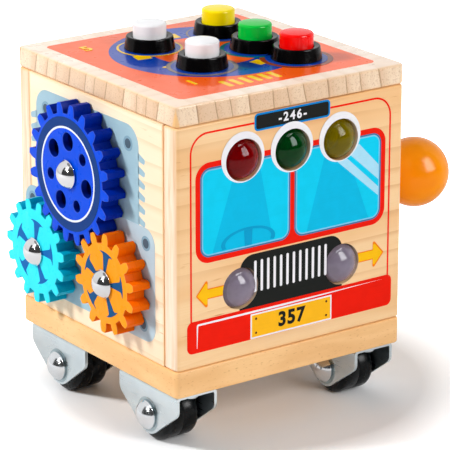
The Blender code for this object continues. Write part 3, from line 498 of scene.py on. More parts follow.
def makeWallWood(name, look, node, axis):
    finish = Finish(name, specular=0.14)
    low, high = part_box(node)
    colour, fibre = pineFace(finish, look, finish.point)
    normal = finish.node("NewGeometry").outputs["Normal"]
    facing = finish.math("ABSOLUTE", finish.axes(normal)[axis])
    isEnd = finish.range(facing, 0.55, 0.8)
    ends = wood["wallEnd"]
    # End grain shows as long upright waves.
    ripple = finish.noise((420.0, 420.0, 24.0), 2.0, 0.5, 0.8)
    endColour = finish.mix(finish.range(ripple, 0.35, 0.65), ends["pale"], ends["warm"])
    endColour = finish.mix(finish.range(ripple, 0.62, 0.70, 0.0, 0.6), endColour, ends["line"])
    colour = finish.mix(isEnd, colour, endColour)
    return finishWood(finish, colour, low, high, fibre)


def makeLidWood():
    finish = Finish("lid wood", coat=0.2, coatRoughness=0.1, specular=0.25)
    low, high = lidLow, lidHigh
    centre = (low + high) / 2
    x, y, z = finish.axes(finish.vector("SUBTRACT", finish.point, tuple(centre)))
    down = finish.minus((high.z - low.z) / 2, z)
    fromX = finish.minus((high.x - low.x) / 2, finish.math("ABSOLUTE", x))
    fromY = finish.minus((high.y - low.y) / 2, finish.math("ABSOLUTE", y))
    onFront = finish.range(finish.minus(fromX, fromY), -0.0006, 0.0006)
    run = finish.math("ADD", finish.times(x, onFront),
                      finish.times(y, finish.minus(1.0, onFront)))
    edgeColour, dark, pores = stripEnds(finish, run, down, wood["endGrain"])
    top = wood["lidTop"]
    stripe = finish.noise(24.0, 3.0)
    topColour = finish.mix(finish.range(stripe, 0.35, 0.65), top["pale"], top["warm"])
    topColour = finish.mix(finish.times(dark, 0.28), topColour, top["line"])
    normal = finish.node("NewGeometry").outputs["Normal"]
    isTop = finish.range(finish.axes(normal)[2], 0.35, 0.9)
    colour = finish.mix(isTop, edgeColour, topColour)
    # The rounded upright corner shows a pointed tongue of clear varnished wood.
    corner = finish.math("MAXIMUM", fromX, fromY)
    reach = finish.math("MULTIPLY_ADD", down, 0.24, 0.0003)
    tongue = finish.range(finish.minus(corner, reach), -0.0004, 0.0004, 1.0, 0.0)
    colour = finish.mix(finish.times(tongue, 0.85), colour, wood["varnishEdge"])
    return finishWood(finish, colour, low, high, pores, roughness=(0.24, 0.36), edge=0.35)


def makeBaseWood():
    finish = Finish("base wood", specular=0.14)
    look = wood["base"]
    drift = finish.noise((24.0, 24.0, 110.0), 2.0, 0.5, 0.3)
    pores = finish.range(finish.noise((520.0, 520.0, 1700.0), 1.0), 0.64, 0.74)
    fine = finish.noise((120.0, 120.0, 1500.0), 2.0)
    colour = finish.mix(finish.range(drift, 0.3, 0.7), look["pale"], look["warm"])
    colour = finish.mix(finish.range(fine, 0.45, 0.8, 0.0, 0.3), colour, look["warm"])
    colour = finish.mix(finish.times(pores, 0.5), colour, look["pore"])
    return finishWood(finish, colour, baseLow, baseHigh, pores)


# Printed ink over the boards: slightly uneven, with the wood's fibre just showing through.
def makeInk(name, colour, gloss=0.30, coat=0.3, along=0):
    finish = Finish(name, roughness=gloss, coat=coat, coatRoughness=0.05, specular=0.06)
    scale = [60.0, 60.0, 2200.0]
    if along == 1:
        scale = [2200.0, 60.0, 2200.0]
    fibre = finish.noise(tuple(scale), 2.0)
    uneven = finish.noise(160.0, 3.0)
    darker = tuple(c * 0.90 for c in colour)
    lighter = tuple(min(c * 1.02 + 0.001, 1.0) for c in colour)
    shade = finish.mix(finish.range(uneven, 0.35, 0.65, 0.0, 0.35), lighter, darker)
    shade = finish.mix(finish.range(fibre, 0.50, 0.85, 0.0, 0.5), shade, darker)
    finish.colour(shade)
    finish.rough(uneven, gloss - 0.05, gloss + 0.06)
    finish.bump(fibre, 0.00003, 0.4)
    return finish.material


# Moulded plastic: a fine skin over faint flow marks.
def makePlastic(name, colour, gloss, skin, shine=0.16):
    finish = Finish(name, roughness=gloss, coatRoughness=0.06, specular=shine)
    flow = finish.noise((60.0, 60.0, 90.0), 3.0, 0.5, 0.6)
    darker = tuple(c * 0.95 for c in colour)
    lighter = tuple(min(c * 1.03 + 0.001, 1.0) for c in colour)
    shade = finish.mix(finish.range(flow, 0.3, 0.7), darker, lighter)
    finish.colour(shade)
    finish.rough(finish.noise(240.0, 3.0), gloss - 0.05, gloss + 0.07)
    finish.bump(finish.noise(skin, 2.0), 0.00002, 0.35)
    return finish.material


# Metal with fine brushing or plating haze.
def makeMetal(name, colour, low, high, haze=500.0, stretch=(1, 1, 1), bump=0.00001):
    finish = Finish(name, metallic=1.0)
    streak = finish.noise(tuple(haze * s for s in stretch), 3.0, 0.6)
    blot = finish.noise(70.0, 3.0)
    darker = tuple(c * 0.90 for c in colour)
    shade = finish.mix(finish.range(blot, 0.35, 0.65), darker, colour)
    finish.colour(shade)
    finish.rough(streak, low, high)
    finish.bump(streak, bump, 0.4)
    return finish.material


# Mesh helpers. Outlines and profiles are in millimetres, and pieces in the frame's metres.

def place(x, y, z):
    return boxCorner + Vector((x, y, z)) * mm


def placed(origin, right, up, out):
    turn = Matrix((right, up, out)).transposed().to_4x4()
    return Matrix.Translation(origin) @ turn @ Matrix.Scale(mm, 4)


# Printed faces: across, up and outwards for the front, the left side and the lid.
frontFace = placed(place(0, 0, 0), (1, 0, 0), (0, 0, 1), (0, -1, 0))
leftFace = placed(place(0, 0, 0), (0, 1, 0), (0, 0, 1), (-1, 0, 0))
lidFace = placed(place(0, 0, boxSize.z), (1, 0, 0), (0, 1, 0), (0, 0, 1))


# Turned pieces stand on their own Z: turned to lie along +X, or along +Y.
def lyingX(point):
    return placed(point, (0, 1, 0), (0, 0, 1), (1, 0, 0))


def lyingY(point):
    return placed(point, (1, 0, 0), (0, 0, -1), (0, 1, 0))


def standing(point):
    return placed(point, (1, 0, 0), (0, 1, 0), (0, 0, 1))


def meshFrom(bm, matrix=None):
    bmesh.ops.recalc_face_normals(bm, faces=bm.faces)
    mesh = bpy.data.meshes.new("mesh")
    bm.to_mesh(mesh)
    bm.free()
    if matrix:
        mesh.transform(matrix)
        if matrix.determinant() < 0:
            mesh.flip_normals()
    return mesh


def holder(data):
    made = bpy.data.objects.new("work", data)
    bpy.context.scene.collection.objects.link(made)
    return made


def drop(*objects):
    for made in objects:
        bpy.data.objects.remove(made, do_unlink=True)


def evaluated(made):
    bpy.context.view_layer.update()
    depsgraph = bpy.context.evaluated_depsgraph_get()
    return bpy.data.meshes.new_from_object(made.evaluated_get(depsgraph))


def cut(mesh, tools, operation="DIFFERENCE"):
    body = holder(mesh)
    others = [holder(tool) for tool in tools]
    for other in others:
        change = body.modifiers.new("cut", "BOOLEAN")
        change.object = other
        change.operation = operation
        change.solver = "EXACT"
    result = evaluated(body)
    drop(body, *others)
    return result


def joined(meshes):
    bm = bmesh.new()
    for mesh in meshes:
        bm.from_mesh(mesh)
    made = bpy.data.meshes.new("mesh")
    bm.to_mesh(made)
    bm.free()
    return made


def addPiece(name, mesh, material, body="cube", stands=(), sharp=32):
    mesh.shade_smooth()
    mesh.set_sharp_from_angle(angle=radians(sharp))
    mesh.materials.clear()
    mesh.materials.append(material)
    piece = bpy.data.objects.new(name, mesh)
    bpy.context.scene.collection.objects.link(piece)
    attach(piece, body)
    if stands:
        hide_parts(*stands)
    return piece


def dress(material, *names):
    for name in names:
        nodes[name].material_slots[0].material = material


def arc(centreX, centreY, radius, start, end, steps):
    points = []
    for k in range(steps + 1):
        angle = radians(start + (end - start) * k / steps)
        points.append((centreX + radius * cos(angle), centreY + radius * sin(angle)))
    return points


def circle(x, y, radius, sides=64):
    return arc(x, y, radius, 0, 360 - 360 / sides, sides - 1)


# An outline whose corners are rounded. One radius serves all the corners, or each has its own.
def soft(corners, radius, steps=6):
    radii = radius if isinstance(radius, (list, tuple)) else [radius] * len(corners)
    points = []
    count = len(corners)
    for k, corner in enumerate(corners):
        here = Vector(corner)
        if radii[k] <= 0:
            points.append(tuple(here))
            continue
        before = (Vector(corners[k - 1]) - here).normalized()
        after = (Vector(corners[(k + 1) % count]) - here).normalized()
        half = before.angle(after) / 2
        back = radii[k] / tan(half)
        centre = here + (before + after).normalized() * (radii[k] / sin(half))
        start = here + before * back - centre
        turn = start.angle_signed(here + after * back - centre)
        for n in range(steps + 1):
            spun = start.copy()
            spun.rotate(Matrix.Rotation(-turn * n / steps, 2))
            points.append(tuple(centre + spun))
    return points


def slab(left, low, right, high, radius, steps=6):
    return soft([(left, low), (right, low), (right, high), (left, high)], radius, steps)


# Outlines filled and thickened, lying at height low to high. An outline inside another is a hole.
def filled(outlines, low, high, matrix, bevel=0.0, steps=3):
    curve = bpy.data.curves.new("outline", "CURVE")
    curve.dimensions = "2D"
    curve.fill_mode = "BOTH"
    curve.extrude = (high - low) / 2 - bevel
    curve.bevel_depth = bevel
    curve.bevel_resolution = steps
    curve.offset = -bevel
    for outline in outlines:
        spline = curve.splines.new("POLY")
        spline.points.add(len(outline) - 1)
        for point, (x, y) in zip(spline.points, outline):
            point.co = (x, y, 0, 1)
        spline.use_cyclic_u = True
    return liftedMesh(curve, low, high, matrix)


def liftedMesh(curve, low, high, matrix):
    body = holder(curve)
    mesh = evaluated(body)
    drop(body)
    bm = bmesh.new()
    bm.from_mesh(mesh)
    bmesh.ops.remove_doubles(bm, verts=bm.verts, dist=1e-4)
    bmesh.ops.translate(bm, verts=bm.verts, vec=(0, 0, (low + high) / 2))
    bpy.data.meshes.remove(mesh)
    return meshFrom(bm, matrix)


def digits(low, high, matrix, text, size, x, y, weight, spacing=1.0):
    font = bpy.data.curves.new("digits", "FONT")
    font.body = text
    font.size = size
    font.align_x = "CENTER"
    font.align_y = "CENTER"
    font.offset = weight
    font.space_character = spacing
    font.extrude = (high - low) / 2
    font.resolution_u = 6
    return liftedMesh(font, low, high, matrix @ Matrix.Translation((x, y, 0)))


# The outline of a printed field, or of what lies inside its border.
def fieldOf(look, inset=0.0, steps=6):
    return slab(look["left"] + inset, look["low"] + inset, look["right"] - inset,
                look["high"] - inset, look["radius"] - inset, steps)


# A profile of (radius, height) points turned about Z. Ends on the axis make a solid, and
# otherwise the profile closes on itself as a ring.
def turned(profile, matrix, sides=96):
    bm = bmesh.new()
    rings = []
    for radius, height in profile:
        count = 1 if radius == 0 else sides
        rings.append([bm.verts.new((radius * cos(2 * pi * k / sides),
                                    radius * sin(2 * pi * k / sides), height))
                      for k in range(count)])
    pairs = list(zip(rings, rings[1:]))
    if profile[0][0] > 0:
        pairs.append((rings[-1], rings[0]))
    for low, high in pairs:
        for k in range(sides):
            corners = [low[k % len(low)], low[(k + 1) % len(low)],
                       high[(k + 1) % len(high)], high[k % len(high)]]
            corners = list(dict.fromkeys(corners))
            if len(corners) > 2:
                bm.faces.new(corners)
    return meshFrom(bm, matrix)


# A dome from its rim at (radius, 0) to its tip at (0, height).
def dome(radius, height, steps):
    sphere = (radius * radius + height * height) / (2 * height)
    reach = atan2(radius, sphere - height)
    points = []
    for k in range(steps):
        angle = reach * (1 - k / steps)
        points.append((sphere * sin(angle), height - sphere + sphere * cos(angle)))
    return points + [(0, height)]


# Boards of the box, with rounded upright corners and eased edges

board = {
    "corner": 2.5,
    "edge": 1.0,
    "sideEdge": 0.3,
    "cornerSteps": 6,
    "edgeSteps": 4,
}


def boxSolid(low, high):
    bm = bmesh.new()
    bmesh.ops.create_cube(bm, size=1)
    size = high - low
    for vert in bm.verts:
        vert.co = Vector([(low[k] + high[k]) / 2 + vert.co[k] * size[k] for k in range(3)])
    return bm


# Corner signs: -1 rounds the upright corners in front, 1 those at the rear.
def makeBoard(name, node, material, cornerSigns, edge, tools=()):
    low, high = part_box(node)
    bm = boxSolid(low, high)
    centreY = (low.y + high.y) / 2
    corners = []
    for line in bm.edges:
        a, b = line.verts
        if abs(a.co.z - b.co.z) > board["edge"] * mm:
            if any((a.co.y - centreY) * sign > 0 for sign in cornerSigns):
                corners.append(line)
    if corners:
        bmesh.ops.bevel(bm, geom=corners, offset=board["corner"] * mm, affect="EDGES",
                        segments=board["cornerSteps"], profile=0.5)
    bm.normal_update()
    sharp = [line for line in bm.edges if line.calc_face_angle() > radians(60)]
    bmesh.ops.bevel(bm, geom=sharp, offset=edge * mm, segments=board["edgeSteps"], profile=0.5,
                    affect="EDGES", clamp_overlap=True)
    mesh = meshFrom(bm)
    if tools:
        mesh = cut(mesh, tools)
    return addPiece(name, mesh, material, stands=(node,))


# Centres of the lights, across the front and up from the underside of the base.
lights = {
    "red": {"x": 34.5, "z": 99.8},
    "green": {"x": 60.0, "z": 99.8},
    "yellow": {"x": 85.5, "z": 99.8},
    "left_headlight": {"x": 33.0, "z": 43.3},
    "right_headlight": {"x": 87.0, "z": 43.3},
}

# Depths are counted inwards from the front face.
lens = {
    "holeRadius": 9.2,
    "radius": 8.9,
    "rimDepth": 1.8,
    "domeHeight": 5.5,
    "skin": 1.3,
    "flange": 1.6,
    "flangeFront": 9.3,
    "flangeBack": 10.8,
    "beadRadius": 7.5,
    "beadWidth": 0.42,
    "bead": 0.20,
    "steps": 56,
}

# The ball's slot in the right board: where it starts behind the front, and how long it is.
slot = {
    "front": 30.0,
    "travel": 62.0,
    "height": 66.0,
    "radius": 4.3,
    "lip": 0.6,
}

buttons = {
    "red": {"x": 86.8, "y": 33.4},
    "green": {"x": 81.8, "y": 56.9},
    "yellow": {"x": 83.8, "y": 87.4},
    "white_front": {"x": 45.8, "y": 45.9},
    "white_left": {"x": 44.8, "y": 84.4},
}

# Heights are counted from the top of the lid.
button = {
    "baseRadius": 11.3,
    "topRadius": 10.4,
    "height": 6.1,
    "round": 0.6,
    "dish": 0.4,
    "capRadius": 7.4,
    "capProud": 6.3,
    "capRound": 1.1,
    "crown": 0.4,
    "bore": 7.7,
    "lip": 4.4,
    "flangeRadius": 8.2,
    "flangeBore": 8.5,
    "barrelRadius": 9.3,
    "barrelDepth": 20.0,
    "barrelFloor": -18.5,
    "switchRadius": 5.0,
    "switchDepth": 4.0,
    "flangeDepth": 4.4,
    "seat": 0.3,
}

pin = {
    "headRadius": 6.35,
    "headHeight": 4.6,
    "rim": 0.6,
    "radius": 2.5,
    "seat": 0.3,
    "shank": 18.9,
}


# A round tool that cuts a hole from low to high along its own axis.
def drill(matrix, radius, low, high, sides):
    return turned([(0, low), (radius, low), (radius, high), (0, high)], matrix, sides)


def lensHole(light):
    return drill(lyingY(place(light["x"], 0, light["z"])), lens["holeRadius"], -4, 14, 80)


def buttonHole(spot):
    radius = button["barrelRadius"] + button["seat"]
    return drill(standing(place(spot["x"], spot["y"], boxSize.z)), radius, -30, 4, 64)


def pinHole(name):
    low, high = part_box(name + "_gear_pin")
    axis = Vector((boxCorner.x, (low.y + high.y) / 2, (low.z + high.z) / 2))
    return drill(lyingX(axis), pin["radius"] + pin["seat"], -4, 14, 40)


def slotTool():
    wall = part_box("right_wall")
    matrix = placed(Vector((wall[0].x, boxCorner.y, boxCorner.z)), (0, 1, 0), (0, 0, 1), (1, 0, 0))
    ends = (slot["front"], slot["front"] + slot["travel"])

    def track(radius):
        return (arc(ends[1], slot["height"], radius, -90, 90, 24)
                + arc(ends[0], slot["height"], radius, 90, 270, 24))
    through = filled([track(slot["radius"])], -3, 12, matrix)
    mouth = filled([track(slot["radius"] + slot["lip"])], 9 - slot["lip"], 12, matrix)
    return [through, mouth]


def makeBox():
    frontWood = makeWallWood("front wood", wood["front"], "front_wall", 0)
    rearWood = makeWallWood("rear wood", {**wood["front"], "seed": 21.7}, "rear_wall", 0)
    leftWood = makeWallWood("left wood", wood["side"], "left_wall", 1)
    rightWood = makeWallWood("right wood", {**wood["side"], "seed": 33.2}, "right_wall", 1)
    makeBoard("lid", "lid_board", makeLidWood(), (-1, 1), board["edge"],
              [buttonHole(spot) for spot in buttons.values()])
    makeBoard("base", "base_board", makeBaseWood(), (-1, 1), board["edge"],
              batteryHole())
    makeBoard("front_board", "front_wall", frontWood, (-1,), board["edge"],
              [lensHole(light) for light in lights.values()])
    makeBoard("rear_board", "rear_wall", rearWood, (1,), board["edge"])
    makeBoard("left_board", "left_wall", leftWood, (), board["sideEdge"],
              [pinHole(name) for name in ("large", "cyan", "orange")])
    makeBoard("right_board", "right_wall", rightWood, (), board["sideEdge"], slotTool())


# The battery box goes right through the base, and its cover lies in a shallower recess.
def batteryHole():
    gap = 0.3 * mm
    around = Vector((gap, gap, 0.0))
    above = Vector((0, 0, gap))
    below = Vector((0, 0, 5 * mm))
    low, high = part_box("battery_box")
    through = meshFrom(boxSolid(low - around - below, high + around))
    low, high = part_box("battery_cover")
    recess = meshFrom(boxSolid(low - around - below, high + around + above))
    return [through, recess]


makeBox()
print("boards are made")


# Printed inks. Every shape is a thin film lying on its board, later shapes above earlier ones.

film = 0.035

inks = {
    "red": lin(238, 24, 0),
    "white": lin(240, 238, 242),
    "slate": lin(70, 118, 160),
    "paleBlue": lin(130, 200, 235),
    "glass": lin(0, 186, 228),
    "glassLight": lin(4, 204, 240),
    "glassDark": lin(0, 158, 206),
    "streak": lin(170, 222, 244),
    "black": lin(27, 29, 27),
    "displayEdge": lin(0, 128, 205),
    "orange": lin(245, 130, 8),
    "yellow": lin(255, 192, 14),
    "plate": lin(255, 186, 28),
    "screw": lin(90, 45, 20),
    "panel": lin(160, 191, 204),
    "panelPale": lin(182, 203, 214),
    "boltRing": lin(132, 165, 184),
    "bolt": lin(78, 96, 110),
    "lidOrange": lin(252, 96, 16),
    "lidBlue": lin(0, 62, 168),
    "teal": lin(0, 112, 116),
    "brown": lin(150, 60, 14),
    "grey": lin(128, 112, 110),
    "lidYellow": lin(255, 204, 0),
}

inkFinishes = {}


def ink(name, face):
    key = name + " ink, " + face
    if key not in inkFinishes:
        along = 1 if face == "left" else 0
        gloss = 0.30 if face == "lid" else 0.36
        coat = 0.45 if face == "lid" else 0.0
        inkFinishes[key] = makeInk(key, inks[name], gloss, coat, along)
    return inkFinishes[key]


def printed(name, face, colour, layer, shapes=(), text=(), holes=()):
    matrix = {"front": frontFace, "left": leftFace, "lid": lidFace}[face]
    high = film * (layer + 1)
    low = 0.004 + film * layer * 0.5
    meshes = [filled(outlines, low, high, matrix) for outlines in shapes]
    meshes += [digits(low, high, matrix, **words) for words in text]
    mesh = joined(meshes)
    if face == "lid":
        mesh = cut(mesh, [buttonHole(spot) for spot in buttons.values()])
    elif holes:
        mesh = cut(mesh, [lensHole(lights[light]) for light in holes])
    return addPiece(name, mesh, ink(colour, face))


# Millimetres from the box's lower left front corner, across and up.
frontPrint = {
    "outline": {"left": 7.1, "right": 112.9, "top": 115.2, "radius": 9.0, "width": 0.85},
    "sign": {"left": 40.0, "right": 79.7, "low": 111.0, "high": 118.7, "radius": 1.9,
             "border": 0.85, "text": "-246-", "size": 5.3, "weight": 0.17, "spacing": 1.32},
    "ring": {"outer": 11.05, "shift": (-0.5, 1.35)},
    "frame": {"left": 9.9, "right": 110.1, "low": 58.0, "high": 101.9, "radius": 7.0},
    "window": {"side": 2.4, "post": 1.1, "low": 60.4, "high": 99.5, "radius": 4.8,
               "slate": 0.75, "pale": 1.35,
               "lights": {"left": ((18.4, 30.8), (49.8, 42.4)),
                          "right": ((67.6, 78.2), (101.2, 87.0))},
               "streaks": (((90.4, 92.3), (95.4, 96.2), 85.0, 78.3),
                           ((82.6, 91.2), (86.4, 93.2), 75.0, 71.0))},
    "grille": {"left": 32.5, "right": 87.2, "low": 33.3, "high": 57.3, "radius": 7.0},
    "bars": {"count": 12, "first": 40.7, "pitch": 3.4, "width": 1.3, "low": 40.0, "high": 54.2},
    "arrow": {"tip": 9.9, "base": 16.0, "shaftEnd": 25.6, "z": 44.3, "head": 7.0, "shaft": 2.3,
              "line": 0.65, "inward": {"tip": 1.3, "base": 0.2, "head": 1.9, "shaft": 0.7},
              "rounds": [0.5, 0.7, 0.3, 0, 0, 0.3, 0.7]},
    "bumper": {"left": 5.4, "right": 114.6, "low": 19.0, "high": 33.3, "radius": 2.8},
    "gleam": {"left": 4.9, "right": 5.2, "top": 1.5, "low": 2.0, "foot": 0.25,
              "corner": (0.75, 0.85), "waist": (45.0, 0.95)},
    "plate": {"left": 38.9, "right": 80.9, "low": 19.8, "high": 29.7, "radius": 0.2,
              "border": 0.7, "borderRadius": 0.25, "screwInset": 2.2, "screwRadius": 0.55,
              "text": "357", "size": 8.8, "weight": 0.34, "spacing": 1.12},
    "wheel": {"x": 36.9, "z": 64.0, "wide": 14.0, "tall": 6.0, "rim": 2.0, "flatness": 0.55,
              "spoke": 1.8, "spokeFlare": 1.2},
}


def makeFrontPrint():
    look = frontPrint["outline"]
    left, right, top = look["left"], look["right"], look["top"]
    low = frontPrint["bumper"]["high"] - 0.2
    w = look["width"]
    line = soft([(left, low), (left, top), (right, top), (right, low), (right - w, low),
                 (right - w, top - w), (left + w, top - w), (left + w, low)],
                [0, look["radius"], look["radius"], 0, 0, look["radius"] - w,
                 look["radius"] - w, 0], 12)
    printed("front_outline", "front", "red", 0, [[line]])

    look = frontPrint["frame"]
    printed("window_frame", "front", "red", 0,
            [[fieldOf(look, steps=12)]], holes=("red", "green", "yellow"))
    makeWindows()

    look = frontPrint["sign"]
    edge = look["border"]
    printed("sign_border", "front", "displayEdge", 1, [[fieldOf(look)]])
    printed("sign_field", "front", "black", 2, [[fieldOf(look, edge)]])
    printed("sign_digits", "front", "white", 3, text=[{
        "text": look["text"], "size": look["size"], "x": (look["left"] + look["right"]) / 2,
        "y": (look["low"] + look["high"]) / 2, "weight": look["weight"],
        "spacing": look["spacing"]}])

    look = frontPrint["grille"]
    radius = look["radius"]
    printed("grille_field", "front", "black", 0,
            [[soft([(look["left"], look["low"]), (look["right"], look["low"]),
                    (look["right"], look["high"]), (look["left"], look["high"])],
                   [0, 0, radius, radius], 10)]], holes=("left_headlight", "right_headlight"))
    bars = frontPrint["bars"]
    shapes = []
    for k in range(bars["count"]):
        x = bars["first"] + bars["pitch"] * k
        half = bars["width"] / 2
        shapes.append([slab(x - half, bars["low"], x + half, bars["high"], half * 0.96)])
    printed("grille_bars", "front", "white", 1, shapes)

    # The white discs are printed a little off the holes that are bored through them.
    ring = frontPrint["ring"]
    shapes = []
    for name in ("red", "green", "yellow"):
        x, z = lights[name]["x"] + ring["shift"][0], lights[name]["z"] + ring["shift"][1]
        shapes.append([circle(x, z, ring["outer"], 96)])
    printed("light_rings", "front", "white", 7, shapes, holes=("red", "green", "yellow"))
    makeArrows()
    makeBumper()


def makeWindows():
    frame = frontPrint["frame"]
    look = frontPrint["window"]
    middleX = boxSize.x / 2
    panes = {
        "left": (frame["left"] + look["side"], middleX - look["post"]),
        "right": (middleX + look["post"], frame["right"] - look["side"]),
    }
    paneHoles = {"left": ("red", "green"), "right": ("green", "yellow")}
    for side, (left, right) in panes.items():
        for number, (colour, inset) in enumerate((("slate", 0), ("paleBlue", look["slate"]),
                                                  ("glass", look["pale"]))):
            printed("%s_pane_%d" % (side, number + 1), "front", colour, 1 + number,
                    [[slab(left + inset, look["low"] + inset, right - inset, look["high"] - inset,
                           look["radius"] - inset, 10)]], holes=paneHoles[side])
    inset = look["pale"]
    radius = look["radius"] - inset
    low, high = look["low"] + inset, look["high"] - inset
    # A lighter patch at each end of a pane: its slanting edge at the foot and at the top.
    for side, (left, right) in panes.items():
        left, right = left + inset, right - inset
        (nearLow, nearHigh), (farLow, farHigh) = look["lights"][side]
        printed(side + "_pane_light", "front", "glassLight", 4, [
            [soft([(left, low), (nearLow, low), (nearHigh, high), (left, high)],
                  [radius, 0, 0, radius])],
            [soft([(farLow, low), (right, low), (right, high), (farHigh, high)],
                  [0, radius, radius, 0])]],
            holes=paneHoles[side])
    streaks = [[[start, end, (right, upper), (right, lower)]]
               for start, end, upper, lower in look["streaks"]]
    printed("pane_streaks", "front", "streak", 5, streaks, holes=("yellow",))
    makeSteeringWheel(low)


def makeSteeringWheel(floor):
    look = frontPrint["wheel"]
    outer = []
    inner = []
    steps = 48
    for k in range(steps + 1):
        angle = pi * (-0.1 + 1.2 * k / steps)
        outer.append((look["x"] + look["wide"] * cos(angle), look["z"] + look["tall"] * sin(angle)))
        inner.append((look["x"] + (look["wide"] - look["rim"]) * cos(angle),
                      look["z"] + (look["tall"] - look["rim"] * look["flatness"]) * sin(angle)))
    rim = [(x, max(z, floor)) for x, z in outer + inner[::-1]]
    top = look["z"] + look["tall"] - look["rim"] * 0.5
    foot, head = look["spoke"], look["spoke"] * look["spokeFlare"]
    spoke = [(look["x"] - foot, floor), (look["x"] + foot, floor), (look["x"] + head, top),
             (look["x"] - head, top)]
    printed("steering_wheel_rim", "front", "glassDark", 5, [[rim]])
    printed("steering_wheel_spoke", "front", "glassDark", 6, [[spoke]])


def makeArrows():
    look = frontPrint["arrow"]
    inward = look["inward"]
    z = look["z"]
    shapes = {"orange": [], "yellow": []}
    for mirror in (False, True):
        for colour, inset in (("orange", 0.0), ("yellow", look["line"])):
            tip = look["tip"] + inset * inward["tip"]
            base = look["base"] - inset * inward["base"]
            head = look["head"] - inset * inward["head"]
            shaft = look["shaft"] - inset * inward["shaft"]
            points = [(tip, z), (base, z - head), (base, z - shaft), (look["shaftEnd"], z - shaft),
                      (look["shaftEnd"], z + shaft), (base, z + shaft), (base, z + head)]
            radii = look["rounds"]
            if mirror:
                points = [(boxSize.x - x, y) for x, y in reversed(points)]
                radii = radii[::-1]
            shapes[colour].append([soft(points, radii, 4)])
    heads = ("left_headlight", "right_headlight")
    printed("arrow_edges", "front", "orange", 1, shapes["orange"], holes=heads)
    printed("arrow_fields", "front", "yellow", 2, shapes["yellow"], holes=heads)


def makeBumper():
    look = frontPrint["bumper"]
    left, right, low, high = look["left"], look["right"], look["low"], look["high"]
    printed("bumper_field", "front", "red", 2, [[fieldOf(look, steps=8)]])
    look = frontPrint["gleam"]
    x, z = left + look["left"], high - look["top"]
    cornerX, cornerZ = look["corner"]
    waistX, waistZ = look["waist"]
    gleam = [(x, low + look["low"]), (x + look["foot"], low + look["low"]),
             (x + cornerX, z - cornerZ), (x + waistX, z - waistZ), (right - look["right"], z),
             (x + waistX, z), (x, z)]
    printed("bumper_gleam", "front", "white", 3, [[soft(gleam, [0, 0, 0.4, 0, 0, 0, 0.9], 5)]])
    look = frontPrint["plate"]
    left, right, low, high = look["left"], look["right"], look["low"], look["high"]
    edge = look["border"]
    printed("plate_border", "front", "white", 3,
            [[slab(left - edge, low - edge, right + edge, high + edge, look["borderRadius"], 3)]])
    printed("plate_field", "front", "plate", 4, [[fieldOf(look, steps=3)]])
    inset = look["screwInset"]
    screws = [[circle(x, z, look["screwRadius"], 20)] for x in (left + inset, right - inset)
              for z in (low + inset * 0.8, high - inset * 0.8)]
    printed("plate_screws", "front", "screw", 5, screws)
    printed("plate_digits", "front", "black", 5, text=[{
        "text": look["text"], "size": look["size"], "x": (left + right) / 2,
        "y": (low + high) / 2, "weight": look["weight"], "spacing": look["spacing"]}])


# Millimetres from the same corner, towards the rear and up.
sidePrint = {
    "back": {"left": 27.0, "right": 107.3, "low": 19.9, "high": 113.0, "radius": 9.0},
    "rear": {"left": 66.0, "right": 117.5, "low": 19.9, "high": 66.5, "radius": 7.0},
    "front": {"left": 15.5, "right": 66.0, "low": 19.9, "high": 70.5, "radius": 7.0},
    "bolts": [(34.9, 104.5), (99.2, 104.5), (22.1, 63.7), (24.6, 26.9), (111.6, 60.5), (110.5, 26.9)],
    "boltRadius": 3.3,
    "boltCore": 2.15,
    "comb": {"pitch": 5.5, "reach": 4.7, "thick": 2.9, "droop": 1.2, "overlap": 0.4,
             "flare": 0.3, "taper": (0.5, 0.6), "round": 0.9, "front": (71.5, 6),
             "rear": (82.5, 4)},
}


def makeSidePrint():
    for layer, (panel, colour) in enumerate((("back", "panel"), ("rear", "panel"),
                                             ("front", "panelPale"))):
        printed("gear_panel_" + panel, "left", colour, layer,
                [[fieldOf(sidePrint[panel], steps=10)]])
    comb = sidePrint["comb"]
    short, thin = comb["taper"]
    shapes = []
    for edge, way, (start, count) in ((sidePrint["back"]["left"], -1, comb["front"]),
                                      (sidePrint["back"]["right"], 1, comb["rear"])):
        for k in range(count):
            z = start + comb["pitch"] * k
            tooth = [(edge - way * comb["overlap"], z + comb["thick"] + comb["flare"]),
                     (edge - way * comb["overlap"], z - comb["flare"]),
                     (edge + way * (comb["reach"] - short), z - comb["droop"]),
                     (edge + way * comb["reach"], z + comb["thick"] - comb["droop"] - thin)]
            radii = [0, 0, comb["round"], comb["round"]]
            if way < 0:
                tooth = tooth[::-1]
                radii = radii[::-1]
            shapes.append([soft(tooth, radii, 5)])
    printed("rack_marks", "left", "panel", 0, shapes)
    for name, colour, layer, radius, sides in (("rings", "boltRing", 3, "boltRadius", 48),
                                               ("cores", "bolt", 4, "boltCore", 40)):
        shapes = [[circle(y, z, sidePrint[radius], sides)] for y, z in sidePrint["bolts"]]
        printed("bolt_" + name, "left", colour, layer, shapes)


makeFrontPrint()
makeSidePrint()
print("front and side prints are made")


# The lid's print: a field with plain generic shapes under the buttons.

